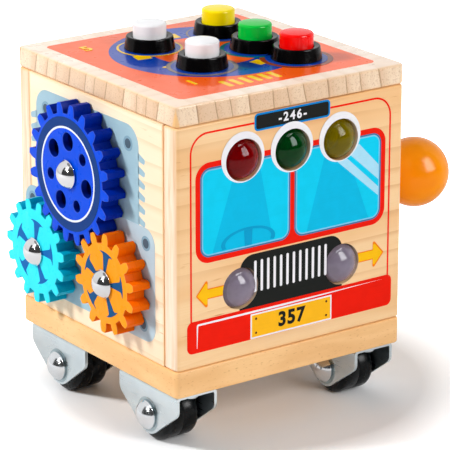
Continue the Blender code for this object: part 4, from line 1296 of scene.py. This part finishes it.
# Millimetres from the lid's left front corner, across and towards the rear.
lidPrint = {
    "inset": 8.6,
    "radius": 3.2,
    "dial": {"x": 62.0, "y": 66.0, "outer": 42.5, "inner": 24.0, "ticks": 9, "tickWide": 7.0,
             "tickInner": 26.0, "tickOuter": 33.0},
    "pads": {"red": ("brown", 16.0), "green": ("teal", 15.5), "yellow": ("grey", 14.5),
             "white_front": ("grey", 15.5), "white_left": ("lidYellow", 14.6)},
    "core": 13.6,
    "bars": {"count": 6, "x": 62.0, "y": 13.2, "pitch": 5.0, "width": 2.6, "long": 9.0},
    "numbers": {"1": (27.5, 27.0), "2": (61.5, 61.5), "3": (104.0, 50.0), "4": (62.0, 101.0),
                "5": (21.5, 99.0)},
    "size": 9.5,
    "weight": 0.25,
}


# Part of a ring between two radii and two angles in degrees.
def sector(x, y, inner, outer, start, end, steps=24):
    return arc(x, y, outer, start, end, steps) + arc(x, y, inner, end, start, steps)


def makeLidPrint():
    inset = lidPrint["inset"]
    right = boxSize.x - inset
    back = boxSize.y - inset
    printed("lid_field", "lid", "lidOrange", 0,
            [[slab(inset, inset, right, back, lidPrint["radius"], 8)]])
    dial = lidPrint["dial"]
    x, y = dial["x"], dial["y"]
    printed("lid_dial", "lid", "lidBlue", 1,
            [[circle(x, y, dial["outer"], 128), circle(x, y, dial["inner"], 128)]])
    ticks = []
    for k in range(dial["ticks"]):
        start = 360 * k / dial["ticks"]
        ticks.append([sector(x, y, dial["tickInner"], dial["tickOuter"], start,
                             start + degrees(dial["tickWide"] / dial["tickOuter"]), 6)])
    printed("lid_ticks", "lid", "lidYellow", 2, ticks)
    pads = {}
    for name, (colour, radius) in lidPrint["pads"].items():
        spot = buttons[name]
        pads.setdefault(colour, []).append([circle(spot["x"], spot["y"], radius, 96)])
    for number, (colour, shapes) in enumerate(pads.items()):
        printed("lid_pads_" + colour, "lid", colour, 3 + number, shapes)
    for number, spot in enumerate(buttons.values()):
        printed("lid_core_%d" % (number + 1), "lid", "lidBlue", 7,
                [[circle(spot["x"], spot["y"], lidPrint["core"], 96)]])
    bars = lidPrint["bars"]
    shapes = []
    for k in range(bars["count"]):
        x = bars["x"] - bars["pitch"] * k
        shapes.append([slab(x, bars["y"], x + bars["width"], bars["y"] + bars["long"], 0.6, 4)])
    printed("lid_bars", "lid", "lidYellow", 2, shapes)
    words = [{"text": number, "size": lidPrint["size"], "x": x, "y": y,
              "weight": lidPrint["weight"]} for number, (x, y) in lidPrint["numbers"].items()]
    printed("lid_numbers", "lid", "lidYellow", 7, text=words)


makeLidPrint()
print("lid print is made")


# Push buttons

capColours = {
    "red": lin(255, 4, 2),
    "green": lin(0, 196, 62),
    "yellow": lin(255, 226, 0),
    "white_front": lin(243, 243, 245),
    "white_left": lin(243, 243, 245),
}


def bezelProfile():
    look = button
    height = look["height"]
    ease = look["round"]
    foot = [(0, -look["barrelDepth"] - look["switchDepth"]),
            (look["switchRadius"], -look["barrelDepth"] - look["switchDepth"]),
            (look["switchRadius"], -look["barrelDepth"]),
            (look["barrelRadius"], -look["barrelDepth"]),
            (look["barrelRadius"], look["seat"])]
    side = [(look["baseRadius"] - 0.25, look["seat"]), (look["baseRadius"], look["seat"] + 0.2)]
    top = arc(look["topRadius"] - ease, height - ease, ease, 4, 90, 8)
    inner = arc(look["bore"] + 0.35, height - look["dish"] - 0.3, 0.32, 80, 180, 5)
    bore = [(look["bore"], height - look["lip"]), (look["flangeBore"], height - look["lip"]),
            (look["flangeBore"], look["barrelFloor"]), (0, look["barrelFloor"])]
    return foot + side + top + inner + bore


def capProfile():
    look = button
    flangeTop = look["height"] - look["lip"] - look["seat"]
    flangeLow = flangeTop - look["flangeDepth"]
    top = look["height"] + look["capProud"]
    edge = arc(look["capRadius"] - look["capRound"], top - look["crown"] - look["capRound"],
               look["capRound"], 0, 84, 10)
    radius, low = edge[-1]
    crown = [(r, low + h) for r, h in dome(radius, top - low, 8)]
    return [(0, flangeLow), (look["flangeRadius"], flangeLow), (look["flangeRadius"], flangeTop),
            (look["capRadius"], flangeTop)] + edge[:-1] + crown


def makeButtons():
    black = makePlastic("bezel black", lin(2, 2, 3), 0.18, 900.0, shine=0.16)
    for name, spot in buttons.items():
        matrix = standing(place(spot["x"], spot["y"], boxSize.z))
        addPiece(name + "_bezel", turned(bezelProfile(), matrix), black,
                 stands=(name + "_button_housing",))
        finish = makePlastic(name + " cap", capColours[name], 0.14, 900.0, shine=0.19)
        addPiece(name + "_push_cap", turned(capProfile(), matrix), finish,
                 body=name + "_button", stands=(name + "_button_cap",))
        nut = makePlastic(name + " nut", lin(20, 20, 22), 0.38, 700.0)
        dress(nut, name + "_button_nut")


makeButtons()
print("buttons are made")


# Lenses: clear coloured shells, their heights counted inwards from the front face

# Colour, share of the light let through, index of refraction.
lensTints = {
    "red": ((0.54, 0.000, 0.003), 0.80, 1.27),
    "green": ((0.000, 0.15, 0.018), 0.80, 1.27),
    "yellow": ((0.44, 0.34, 0.000), 0.74, 1.27),
    "left_headlight": ((0.42, 0.36, 0.46), 0.55, 1.42),
    "right_headlight": ((0.42, 0.36, 0.46), 0.55, 1.42),
}


def lensProfile():
    look = lens
    radius = look["radius"]
    outer = []
    for r, h in dome(radius, look["domeHeight"], look["steps"]):
        bead = max(0.0, 1 - abs(r - look["beadRadius"]) / look["beadWidth"])
        outer.append((r, look["rimDepth"] - h - look["bead"] * bead))
    innerRadius = radius - look["skin"]
    inner = [(r, look["rimDepth"] - h)
             for r, h in dome(innerRadius, look["domeHeight"] - look["skin"], look["steps"])]
    rim = radius + look["flange"]
    back = [(radius, look["flangeFront"]), (rim, look["flangeFront"]), (rim, look["flangeBack"]),
            (innerRadius, look["flangeBack"])]
    return outer[::-1] + back + inner


def makeLens(name, tint, share, bending):
    finish = Finish(name, roughness=0.02, specular=0.26, ior=bending)
    uneven = finish.noise(220.0, 2.0)
    deeper = tuple(c * 0.86 for c in tint)
    finish.colour(finish.mix(finish.range(uneven, 0.3, 0.7), tint, deeper))
    finish.fix("Transmission Weight", share)
    finish.rough(finish.noise(500.0, 3.0), 0.01, 0.025)
    finish.bump(uneven, 0.000004, 0.3)
    return finish.material


def makeLenses():
    for name, light in lights.items():
        matrix = lyingY(place(light["x"], 0, light["z"]))
        finish = makeLens(name + " lens", *lensTints[name])
        addPiece(name + "_dome", turned(lensProfile(), matrix), finish,
                 stands=(name + "_lens",))


makeLenses()
print("lenses are made")


# Gears. Outlines are in the plane of the left side, angles from the rear towards the top.

gear = {
    "module": 2.9,
    "pressure": radians(20),
    "backlash": 0.35,
    "spare": 0.5,
    "width": 9.0,
    "plate": 3.0,
    "edge": 0.28,
    "edgeSteps": 4,
    "tipRound": 0.3,
    "rootRound": 0.5,
    "wallGap": 0.6,
    "hub": 5.5,
    "rim": 3.2,
    "rib": 1.6,
    "rootClearance": 0.9,
    "bore": 2.7,
    "holeCircle": 14.4,
    "holes": (4.0, 2.6, 4.0, 2.6, 4.0, 2.6, 4.0),
    "holeEdge": 0.3,
}

# Each gear's side colour is its face colour darkened: painted shade on every surface that does not face
# outwards.
gears = {
    "large": {"teeth": 20, "addendum": 2.2, "y": 67.2, "z": 84.5, "turn": radians(5.8),
              "face": lin(0, 74, 218), "side": lin(0, 38, 152), "slot": "blue_plastic",
              "pockets": 7, "firstRib": radians(90 + 180 / 7)},
    "cyan": {"teeth": 15, "addendum": 1.7, "direction": radians(303.5), "face": lin(48, 228, 250),
             "side": lin(0, 180, 217), "slot": "cyan_plastic", "pockets": 5,
             "firstRib": radians(27)},
    "orange": {"teeth": 14, "addendum": 2.1, "direction": radians(237.5), "face": lin(255, 156, 22),
               "side": lin(236, 102, 0), "slot": "orange_plastic", "pockets": 5,
               "firstRib": radians(27)},
}


def pitchRadius(teeth):
    return gear["module"] * teeth / 2


def halfTooth(teeth, radius):
    pitch = pitchRadius(teeth)
    base = pitch * cos(gear["pressure"])
    half = (pi * gear["module"] / 2 - gear["backlash"]) / (2 * pitch)
    atPitch = tan(gear["pressure"]) - gear["pressure"]
    if radius <= base:
        return half + atPitch
    slope = acos(base / radius)
    return half + atPitch - (tan(slope) - slope)


def gearOutline(teeth, tip, root, turn):
    base = pitchRadius(teeth) * cos(gear["pressure"])
    start = max(base, root)
    flank = [start + (tip - start) * k / 4 for k in range(5)]
    if base > root + 0.6:
        flank = [root] + flank
    elif base > root:
        flank[0] = root
    corners = []
    radii = []
    for k in range(teeth):
        centre = turn + 2 * pi * k / teeth
        for side, order in ((-1, flank), (1, flank[::-1])):
            for radius in order:
                angle = centre + side * halfTooth(teeth, radius)
                corners.append((radius * cos(angle), radius * sin(angle)))
                radii.append({tip: gear["tipRound"], root: gear["rootRound"]}.get(radius, 0))
    return soft(corners, radii, 4)


def movedIn(points, distance):
    moved = []
    for k, point in enumerate(points):
        before = Vector(point) - Vector(points[k - 1])
        after = Vector(points[(k + 1) % len(points)]) - Vector(point)
        first, second = [Vector((-e.y, e.x)).normalized() for e in (before, after)]
        middleWay = (first + second).normalized()
        reach = distance / max(middleWay.dot(first), 0.5)
        moved.append((point[0] + middleWay.x * reach, point[1] + middleWay.y * reach))
    return moved


def layered(levels, matrix):
    bm = bmesh.new()
    loops = [[bm.verts.new((x, y, z)) for x, y in points] for points, z in levels]
    bm.faces.new(loops[0])
    bm.faces.new(loops[-1])
    count = len(loops[0])
    for low, high in zip(loops, loops[1:]):
        for k in range(count):
            after = (k + 1) % count
            bm.faces.new((low[k], low[after], high[after], high[k]))
    return meshFrom(bm, matrix)


def prism(points, low, high, matrix):
    return layered([(points, low), (points, high)], matrix)


def roundedPlate(points, low, high, edge, steps, matrix, backEdge=0.0):
    levels = []
    for k in range(steps + 1):
        angle = pi / 2 * k / steps
        levels.append((movedIn(points, edge * (1 - sin(angle))), low + edge * (1 - cos(angle))))
    if backEdge:
        levels.append((points, high - backEdge))
        levels.append((movedIn(points, backEdge), high))
    else:
        levels.append((points, high))
    return layered(levels, matrix)


def pocketTools(look, root, matrix):
    outer = root - gear["rim"]
    tools = []
    for k in range(look["pockets"]):
        start = look["firstRib"] + 2 * pi * k / look["pockets"]
        span = 2 * pi / look["pockets"]
        points = []
        for radius, forward, steps in ((outer, True, 14), (gear["hub"], False, 5)):
            edge = gear["rib"] / 2 / radius
            for n in range(steps + 1):
                share = n / steps if forward else 1 - n / steps
                angle = start + edge + (span - 2 * edge) * share
                points.append((radius * cos(angle), radius * sin(angle)))
        tools.append(prism(points, gear["plate"], gear["width"] + 3, matrix))
    return tools


def makeGearPlastic(name, look, front):
    finish = Finish(name, roughness=0.3, specular=0.06)
    normal = finish.node("NewGeometry").outputs["Normal"]
    outward = finish.times(finish.axes(normal)[0], -1.0)
    isFace = finish.range(outward, 0.55, 0.9)
    flow = finish.noise(50.0, 3.0, 0.5, 0.5)
    # Surfaces not facing outwards take the darker side colour: painted shade on the one plastic.
    shade = finish.mix(isFace, look["side"], look["face"])
    darker = finish.mix(isFace, tuple(c * 0.88 for c in look["side"]),
                        tuple(c * 0.95 for c in look["face"]))
    shade = finish.mix(finish.range(flow, 0.3, 0.7, 0.0, 0.9), shade, darker)
    # The eased front edge is painted pale as a highlight, and the tooth sides carry a fine parting
    # line.
    depth = finish.minus(finish.axes(finish.point)[0], front)
    onEdge = finish.range(depth, 0.00002, 0.00045, 1.0, 0.0)
    edgeHighlight = finish.times(onEdge, finish.range(outward, 0.97, 0.6))
    pale = tuple(min(c * 1.25 + 0.10, 1.0) for c in look["face"])
    shade = finish.mix(finish.times(edgeHighlight, 0.7), shade, pale)
    toLine = finish.math("ABSOLUTE", finish.minus(depth, gear["width"] * mm / 2))
    line = finish.range(toLine, 0.00005, 0.00022, 1.0, 0.0)
    shade = finish.mix(finish.times(line, 0.28), shade, tuple(c * 0.6 for c in look["side"]))
    finish.colour(shade)
    finish.rough(finish.noise(260.0, 3.0), 0.24, 0.36)
    edge = finish.bump(line, 0.00008, 0.6)
    finish.bump(finish.noise(1300.0, 2.0), 0.00002, 0.35, edge)
    return finish.material


def makeGear(name, look):
    teeth = look["teeth"]
    large = gears["large"]
    tip = pitchRadius(teeth) + look["addendum"]
    if name == "large":
        turn = look["turn"]
        orange = gears["orange"]
        reach = pitchRadius(teeth) + pitchRadius(orange["teeth"]) + gear["spare"]
        mateTip = pitchRadius(orange["teeth"]) + orange["addendum"]
        look["centre"] = (look["y"], look["z"])
    else:
        direction = look["direction"]
        reach = pitchRadius(teeth) + pitchRadius(large["teeth"]) + gear["spare"]
        mateTip = pitchRadius(large["teeth"]) + large["addendum"]
        look["centre"] = (large["y"] + reach * cos(direction), large["z"] + reach * sin(direction))
        share = ((direction - large["turn"]) / (2 * pi / large["teeth"])) % 1
        turn = direction + pi - (0.5 - share) * 2 * pi / teeth
    root = reach - mateTip - gear["rootClearance"]
    look["root"] = root
    y, z = look["centre"]
    point = place(-gear["wallGap"] - gear["width"], y, z)
    matrix = lyingX(point)
    outline = gearOutline(teeth, tip, root, turn)
    body = roundedPlate(outline, 0, gear["width"], gear["edge"], gear["edgeSteps"], matrix, 0.15)
    tools = pocketTools(look, root, matrix)
    tools.append(prism(circle(0, 0, gear["bore"], 40), -3, 14, matrix))
    if name == "large":
        for k, radius in enumerate(gear["holes"]):
            angle = radians(90) + 2 * pi * k / len(gear["holes"])
            centre = (gear["holeCircle"] * cos(angle), gear["holeCircle"] * sin(angle))
            edge = gear["holeEdge"]
            profile = [(0, -2), (radius + edge + 2, -2), (radius, edge), (radius, 12), (0, 12)]
            hole = turned(profile, matrix @ Matrix.Translation((*centre, 0)), 48)
            tools.append(hole)
    mesh = cut(body, tools)
    finish = makeGearPlastic(name + " gear plastic", look, point.x)
    addPiece(name + "_gear_wheel", mesh, finish, body=name + "_gear",
             stands=(name + "_gear",), sharp=30)
    return matrix


marks = {
    "ringInner": 21.0,
    "ringOuter": 25.1,
    "whiteInner": 20.1,
    "whiteOuter": 21.0,
    # Distance from the gear's middle and half width, from the hub to the horn.
    "spoke": [(5.2, 0.75), (12.6, 2.1), (13.2, 2.5), (13.55, 3.4), (13.75, 4.9)],
    "arcSteps": 12,
    "film": 0.10,
}


# Half of a spoke from hub to horn, mirrored, with an arc across its outer end.
def spokeOutline(middleAngle):
    side = marks["spoke"]
    reach, half = side[-1]
    outer = hypot(reach, half)
    horn = degrees(atan2(half, reach))
    points = [(r, -h) for r, h in side[:-1]] + arc(0, 0, outer, -horn, horn, marks["arcSteps"])
    points += [(r, h) for r, h in reversed(side[:-1])]
    c, s = cos(middleAngle), sin(middleAngle)
    return [(r * c - h * s, r * s + h * c) for r, h in points]


def gearInk(name, colour):
    return makeInk(name, colour, 0.34, 0.0, 1)


def makeGearMarks(matrices):
    high = 0.002
    low = -marks["film"]
    matrix = matrices["large"]
    ring = filled([circle(0, 0, marks["ringOuter"], 128), circle(0, 0, marks["ringInner"], 128)],
                  low, high, matrix)
    addPiece("large_gear_band", ring, gearInk("gear band", lin(2, 54, 122)),
             body="large_gear")
    ring = filled([circle(0, 0, marks["whiteOuter"], 128), circle(0, 0, marks["whiteInner"], 128)],
                  low * 1.3, high, matrix)
    addPiece("large_gear_ring", ring, gearInk("gear ring", lin(226, 232, 245)),
             body="large_gear")
    for name, colour in (("cyan", lin(4, 98, 172)), ("orange", lin(8, 76, 128))):
        look = gears[name]
        meshes = []
        for k in range(look["pockets"]):
            middleAngle = look["firstRib"] + 2 * pi * k / look["pockets"]
            meshes.append(filled([spokeOutline(middleAngle)], low, high, matrices[name]))
        addPiece(name + "_gear_marks", joined(meshes), gearInk(name + " gear marks", colour),
                 body=name + "_gear")


def makePins():
    chrome = makeMetal("pin chrome", (0.74, 0.74, 0.75), 0.05, 0.10, 320.0, bump=0.000003)
    profile = [(r, -h - pin["rim"]) for r, h in dome(pin["headRadius"] - 0.1,
                                                     pin["headHeight"] - pin["rim"], 20)]
    profile = profile[::-1] + [(pin["headRadius"], -pin["rim"] + 0.1), (pin["headRadius"], -0.12),
                               (pin["headRadius"] - 0.12, 0), (pin["radius"], 0),
                               (pin["radius"], pin["shank"] - 0.4),
                               (pin["radius"] - 0.4, pin["shank"]), (0, pin["shank"])]
    for name, look in gears.items():
        y, z = look["centre"]
        point = place(-gear["wallGap"] - gear["width"] - pin["seat"], y, z)
        addPiece(name + "_pin", turned(profile, lyingX(point)), chrome,
                 stands=(name + "_gear_pin",))


gearMatrices = {name: makeGear(name, look) for name, look in gears.items()}
makeGearMarks(gearMatrices)
makePins()
print("gears are made")


# Castors: a folded fork, a moulded wheel and an axle riveted with a dome at each end

castor = {
    "height": 12.195,
    "x": (12.3, 107.7),
    "y": (24.6, 95.8),
    "width": 21.0,
    "length": 43.7,
    "metal": 1.5,
    "fold": 2.4,
    "corner": 4.5,
    "drop": 8.8,
    "nose": 8.8,
    "ringInner": 5.4,
    "ringOuter": 7.7,
    "ringHeight": 0.24,
    "wheelRadius": 12.185,
    "wheelWidth": 17.4,
    "shoulder": 3.0,
    "hub": 4.5,
    "axle": 2.5,
    "headRadius": 6.5,
    "headHeight": 4.6,
    "headRim": 1.0,
    "screwSpread": 34.5,
    "screwRadius": 3.2,
    "screwHeight": 1.8,
    "seat": 0.3,
    "cutEdge": 0.16,
}


def forkOutline(top):
    half = castor["length"] / 2
    sideLow = top - castor["drop"]
    nose = castor["nose"]
    reach = hypot(half, sideLow)
    tangent = atan2(sideLow, half) - acos(nose / reach)
    corners = [(half, top), (half, sideLow)]
    low = arc(0, 0, nose, degrees(tangent), degrees(-pi - tangent), 36)
    points = soft([corners[0], corners[1], low[0]], [0, castor["corner"], 0], 8)[:-1]
    mirrored = [(-x, y) for x, y in reversed(points)]
    return points + low + mirrored


def castorPoint(x, y):
    return Vector((boxCorner.x + x * mm, boxCorner.y + y * mm, castor["height"] * mm))


def makeFork(x, y):
    top = -castor["seat"] - castor["height"] + (baseLow.z / mm)
    half = castor["width"] / 2
    matrix = lyingX(castorPoint(x, y))
    outline = forkOutline(top)
    plate = roundedPlate(outline[::-1], -half, half, castor["cutEdge"], 2, matrix, castor["cutEdge"])
    # A box with rounded top edges trims the folds outside, and a smaller one clears the room.
    sleeve = trough(half, top, castor["fold"], castor["length"], matrix)
    room = trough(half - castor["metal"], top - castor["metal"], castor["fold"] - castor["metal"],
                  castor["length"] + 4, matrix)
    body = cut(plate, [sleeve], "INTERSECT")
    bore = prism(circle(0, 0, castor["axle"] + castor["seat"], 32), -half - 2, half + 2, matrix)
    body = cut(body, [room, bore])
    parts = [body]
    ring = [(castor["ringInner"], 0), (castor["ringOuter"], 0),
            (castor["ringOuter"] - 0.12, castor["ringHeight"]),
            (castor["ringInner"] + 0.12, castor["ringHeight"])]
    for side in (-1, 1):
        parts.append(turned([(r, side * (half - 0.03 + h)) for r, h in ring], matrix, 64))
    for side in (-1, 1):
        point = Vector((boxCorner.x + x * mm, boxCorner.y + (y + side * castor["screwSpread"] / 2) * mm,
                        baseLow.z - (castor["seat"] + castor["metal"]) * mm))
        parts.append(screwHead(standing(point), castor["screwRadius"], castor["screwHeight"]))
    return joined(parts)


def trough(half, top, radius, length, matrix):
    section = soft([(-half, -40), (half, -40), (half, top), (-half, top)], [0, 0, radius, radius], 10)
    turnIn = Matrix(((0, 0, 1, 0), (0, 1, 0, 0), (1, 0, 0, 0), (0, 0, 0, 1)))
    return prism(section, -length / 2 - 1, length / 2 + 1, matrix @ turnIn)


# A rounded screw head with a cross slot, hanging down from its seat.
def screwHead(matrix, radius, height):
    edge = height * 0.5
    sunk = 0.7      # how far the head reaches into what it holds
    profile = [(0, -height)] + arc(radius - edge, -height + edge, edge, -90, 0, 6)
    profile += [(radius, sunk), (0, sunk)]
    head = turned(profile, matrix, 40)
    slots = []
    for long, wide in ((radius * 1.2, radius * 0.22), (radius * 0.22, radius * 1.2)):
        slots.append(prism([(-long / 2, -wide / 2), (long / 2, -wide / 2), (long / 2, wide / 2),
                            (-long / 2, wide / 2)], -height - 1, -height * 0.45, matrix))
    return cut(head, slots)


def wheelProfile():
    tread = castor["wheelWidth"] / 2
    radius = castor["wheelRadius"]
    step = castor["shoulder"]
    bore = castor["axle"] + 0.2
    right = [(radius - 0.12, 0.0), (radius, 0.22)]
    right += arc(radius - step, tread - step, step, 0, 90, 10)[:-1]
    right += [(radius - step, tread), (radius - step - 0.6, tread), (radius - step - 1.0, tread - 0.5),
              (castor["hub"] + 0.5, tread - 0.5), (castor["hub"] + 0.1, tread), (bore, tread)]
    left = [(r, -along) for r, along in reversed(right)]
    return left[:-1] + right


def axleProfile():
    seat = castor["width"] / 2 + castor["seat"]
    rim = castor["headRim"]
    cap = dome(castor["headRadius"] - 0.12, castor["headHeight"] - rim, 16)
    right = [(castor["axle"], seat), (castor["headRadius"] - 0.15, seat),
             (castor["headRadius"], seat + 0.15), (castor["headRadius"], seat + rim - 0.12)]
    right += [(r, seat + rim + h) for r, h in cap]
    left = [(r, -along) for r, along in reversed(right)]
    return left + right


def makeZinc(name, y):
    finish = Finish(name, metallic=1.0)
    brushed = finish.noise((40.0, 60.0, 1500.0), 3.0, 0.6)
    blot = finish.noise(60.0, 2.0)
    shade = finish.mix(finish.range(blot, 0.35, 0.65), lin(204, 215, 220), lin(212, 223, 227))
    offset = finish.vector("SUBTRACT", finish.point,
                           (0, boxCorner.y + y * mm, castor["height"] * mm))
    along, up = finish.axes(offset)[1:]
    # The pressed ring round each rivet is painted a darker teal grey.
    away = finish.math("SQRT", finish.math("ADD", finish.times(along, along),
                                           finish.times(up, up)))
    inner, outer = castor["ringInner"] * mm, castor["ringOuter"] * mm
    ring = finish.times(finish.range(away, inner - 0.4 * mm, inner),
                       finish.range(away, outer + 0.2 * mm, outer - 0.2 * mm))
    shade = finish.mix(finish.times(ring, 0.55), shade, lin(118, 146, 154))
    finish.colour(shade)
    finish.rough(brushed, 0.26, 0.32)
    finish.bump(brushed, 0.000006, 0.4)
    return finish.material


def makeTyre():
    finish = Finish("wheel plastic", roughness=0.28, specular=0.16)
    scuff = finish.noise((700.0, 120.0, 120.0), 3.0, 0.6)
    shade = finish.mix(finish.range(scuff, 0.50, 0.75), lin(3, 5, 6), lin(14, 18, 20))
    finish.colour(shade)
    finish.rough(finish.noise(200.0, 3.0), 0.20, 0.34)
    finish.bump(finish.noise(1200.0, 2.0), 0.00002, 0.4)
    return finish.material


def makeCastors():
    tyre = makeTyre()
    rivet = makeMetal("rivet steel", (0.72, 0.74, 0.76), 0.12, 0.22, 420.0, bump=0.000004)
    zincs = [makeZinc("front fork zinc", castor["y"][0]), makeZinc("rear fork zinc", castor["y"][1])]
    for row, (ends, y) in enumerate(zip(("front", "rear"), castor["y"])):
        for side, x in zip(("left", "right"), castor["x"]):
            name = ends + "_" + side
            matrix = lyingX(castorPoint(x, y))
            addPiece(name + "_fork", makeFork(x, y), zincs[row],
                     stands=("castor_fork_" + name,))
            addPiece(name + "_wheel", turned(wheelProfile(), matrix), tyre,
                     body="castor_wheel_" + name, stands=("castor_wheel_" + name,))
            addPiece(name + "_axle", turned(axleProfile(), matrix), rivet,
                     stands=("castor_axle_" + name,))


makeCastors()
print("castors are made")


# Ball knob on its stem

knob = {
    "y": 30.0,
    "z": 66.0,
    "reach": 31.0,
    "radius": 15.8,
    "socket": 10.0,
    "stem": 4.0,
    "collar": 8.5,
    "collarThick": 3.0,
    "retainer": 9.0,
    "retainerThick": 3.0,
    "seat": 0.3,
    "wall": 9.0,
}


def makeBallPaint():
    finish = Finish("ball paint", roughness=0.16, specular=0.18)
    drift = finish.noise(60.0, 2.0)
    peel = finish.noise(420.0, 2.0)
    finish.colour(finish.mix(finish.range(drift, 0.3, 0.7), lin(254, 150, 0), lin(250, 140, 0)))
    finish.rough(finish.noise(180.0, 3.0), 0.14, 0.24)
    finish.bump(peel, 0.00003, 0.25)
    return finish.material


def makeTurnedWood(name, look):
    finish = Finish(name, coat=0.3, coatRoughness=0.2)
    streak = finish.noise((30.0, 900.0, 900.0), 3.0, 0.6)
    slow = finish.noise((20.0, 160.0, 160.0), 2.0)
    shade = finish.mix(finish.range(slow, 0.3, 0.7), look["pale"], look["warm"])
    shade = finish.mix(finish.range(streak, 0.5, 0.8, 0.0, 0.5), shade, look["line"])
    finish.colour(shade)
    finish.rough(finish.noise(120.0, 3.0), 0.30, 0.42)
    finish.bump(streak, 0.00005, 0.5)
    return finish.material


def makeKnob():
    point = place(boxSize.x, knob["y"], knob["z"])
    matrix = lyingX(point)
    stemWood = makeTurnedWood("stem wood", wood["front"])
    seat = knob["seat"]
    inner = -knob["wall"] - seat - knob["retainerThick"]
    end = knob["reach"] - knob["radius"] + knob["socket"] - seat
    thick = knob["collarThick"]
    stem = [(0, inner), (knob["stem"] - 0.4, inner), (knob["stem"], inner + 0.4), (knob["stem"], seat),
            (knob["collar"] - 0.3, seat), (knob["collar"], seat + 0.3)]
    stem += arc(knob["collar"] - thick / 2, seat + thick / 2, thick / 2, 0, 90, 8)
    stem += [(knob["stem"], seat + thick), (knob["stem"], end), (0, end)]
    addPiece("knob_stem", turned(stem, matrix), stemWood, body="ball_knob",
             stands=("slider_stem",))
    hole = knob["stem"] + seat
    disc = knob["retainer"]
    outer = inner + knob["retainerThick"]
    ring = [(hole, inner), (disc - 0.4, inner), (disc, inner + 0.4), (disc, outer - 0.4),
            (disc - 0.4, outer), (hole, outer)]
    addPiece("knob_retainer", turned(ring, matrix), stemWood, body="ball_knob",
             stands=("slider_retainer",))
    radius = knob["radius"]
    mouth = sqrt(radius * radius - (hole + 0.5) ** 2)
    start = -atan2(mouth, hole + 0.5)
    steps = 48
    ball = [(0, knob["socket"] - radius), (hole, knob["socket"] - radius), (hole, -mouth + 0.5)]
    for k in range(steps + 1):
        angle = start + (pi / 2 - start) * k / steps
        ball.append((radius * cos(angle), radius * sin(angle)))
    ball[-1] = (0, radius)
    centre = lyingX(place(boxSize.x + knob["reach"], knob["y"], knob["z"]))
    addPiece("knob_ball", turned(ball, centre), makeBallPaint(), body="ball_knob",
             stands=("slider_ball",))


makeKnob()
print("knob is made")


# Battery cover under the base, and the parts inside

door = {
    "corner": 1.5,
    "edge": 0.3,
    "well": 2.7,
    "wellMouth": 3.0,
    "wellDepth": 1.4,
    "screwHole": 1.4,
    "grooves": 4,
    "grooveFrom": 9.0,
    "groovePitch": 1.6,
    "grooveWide": 0.8,
    "grooveLong": 12.0,
    "grooveDepth": 0.4,
    "headRadius": 2.4,
    "headHeight": 1.1,
    "shank": 1.1,
    "shankLength": 9.0,
}


def makeCover():
    low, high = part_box("battery_cover")
    screwLow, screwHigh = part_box("battery_cover_screw")
    size = (high - low) / mm
    matrix = standing(low)
    grey = makePlastic("cover grey", lin(150, 150, 154), 0.42, 700.0)
    plate = roundedPlate(slab(0, 0, size.x, size.y, door["corner"], 8), 0, size.z, door["edge"],
                         3, matrix)
    centre = (screwLow + screwHigh) / 2
    x, y = (centre.x - low.x) / mm, (centre.y - low.y) / mm
    well = turned([(0, -2), (door["wellMouth"], -2), (door["well"], door["edge"]),
                   (door["well"], door["wellDepth"]), (door["screwHole"], door["wellDepth"]),
                   (door["screwHole"], 4), (0, 4)], matrix @ Matrix.Translation((x, y, 0)), 40)
    grooves = []
    for k in range(door["grooves"]):
        left = size.x - door["grooveFrom"] + door["groovePitch"] * k
        groove = slab(left, (size.y - door["grooveLong"]) / 2, left + door["grooveWide"],
                      (size.y + door["grooveLong"]) / 2, 0.39, 4)
        grooves.append(prism(groove, -1, door["grooveDepth"], matrix))
    addPiece("battery_door", cut(plate, [well] + grooves), grey,
             stands=("battery_cover",))
    steel = makeMetal("screw steel", (0.62, 0.66, 0.68), 0.18, 0.34, 600.0)
    foot = Vector((centre.x, centre.y, screwLow.z))
    head = screwHead(standing(foot + Vector((0, 0, door["headHeight"] * mm))),
                     door["headRadius"], door["headHeight"])
    radius, end = door["shank"], door["shankLength"]
    shank = turned([(0, 1.0), (radius, 1.0), (radius, end - radius), (0, end)], standing(foot), 32)
    addPiece("battery_door_screw", joined([head, shank]), steel,
             stands=("battery_cover_screw",))
    return grey


def makeInside():
    grey = makeCover()
    dress(grey, "battery_box")
    spring = makeMetal("spring steel", (0.66, 0.66, 0.68), 0.20, 0.36, 800.0)
    dress(spring, *[name + "_button_spring" for name in buttons])
    finish = Finish("light board green", roughness=0.4, coat=0.3)
    weave = finish.noise(900.0, 2.0)
    tracks = finish.range(finish.noise((120.0, 120.0, 420.0), 1.0), 0.55, 0.58)
    shade = finish.mix(finish.range(weave, 0.3, 0.7), lin(18, 92, 48), lin(26, 106, 58))
    finish.colour(finish.mix(tracks, shade, lin(60, 140, 84)))
    finish.rough(weave, 0.32, 0.46)
    finish.bump(tracks, 0.00003, 0.4)
    dress(finish.material, "light_board")
    dress(makePlastic("cell sleeve", lin(60, 110, 180), 0.28, 500.0), "battery_cell_1",
          "battery_cell_2")
    dress(makePlastic("lead sleeve", lin(40, 40, 42), 0.45, 900.0), "battery_lead", "button_lead")


makeInside()
print("inside is finished")
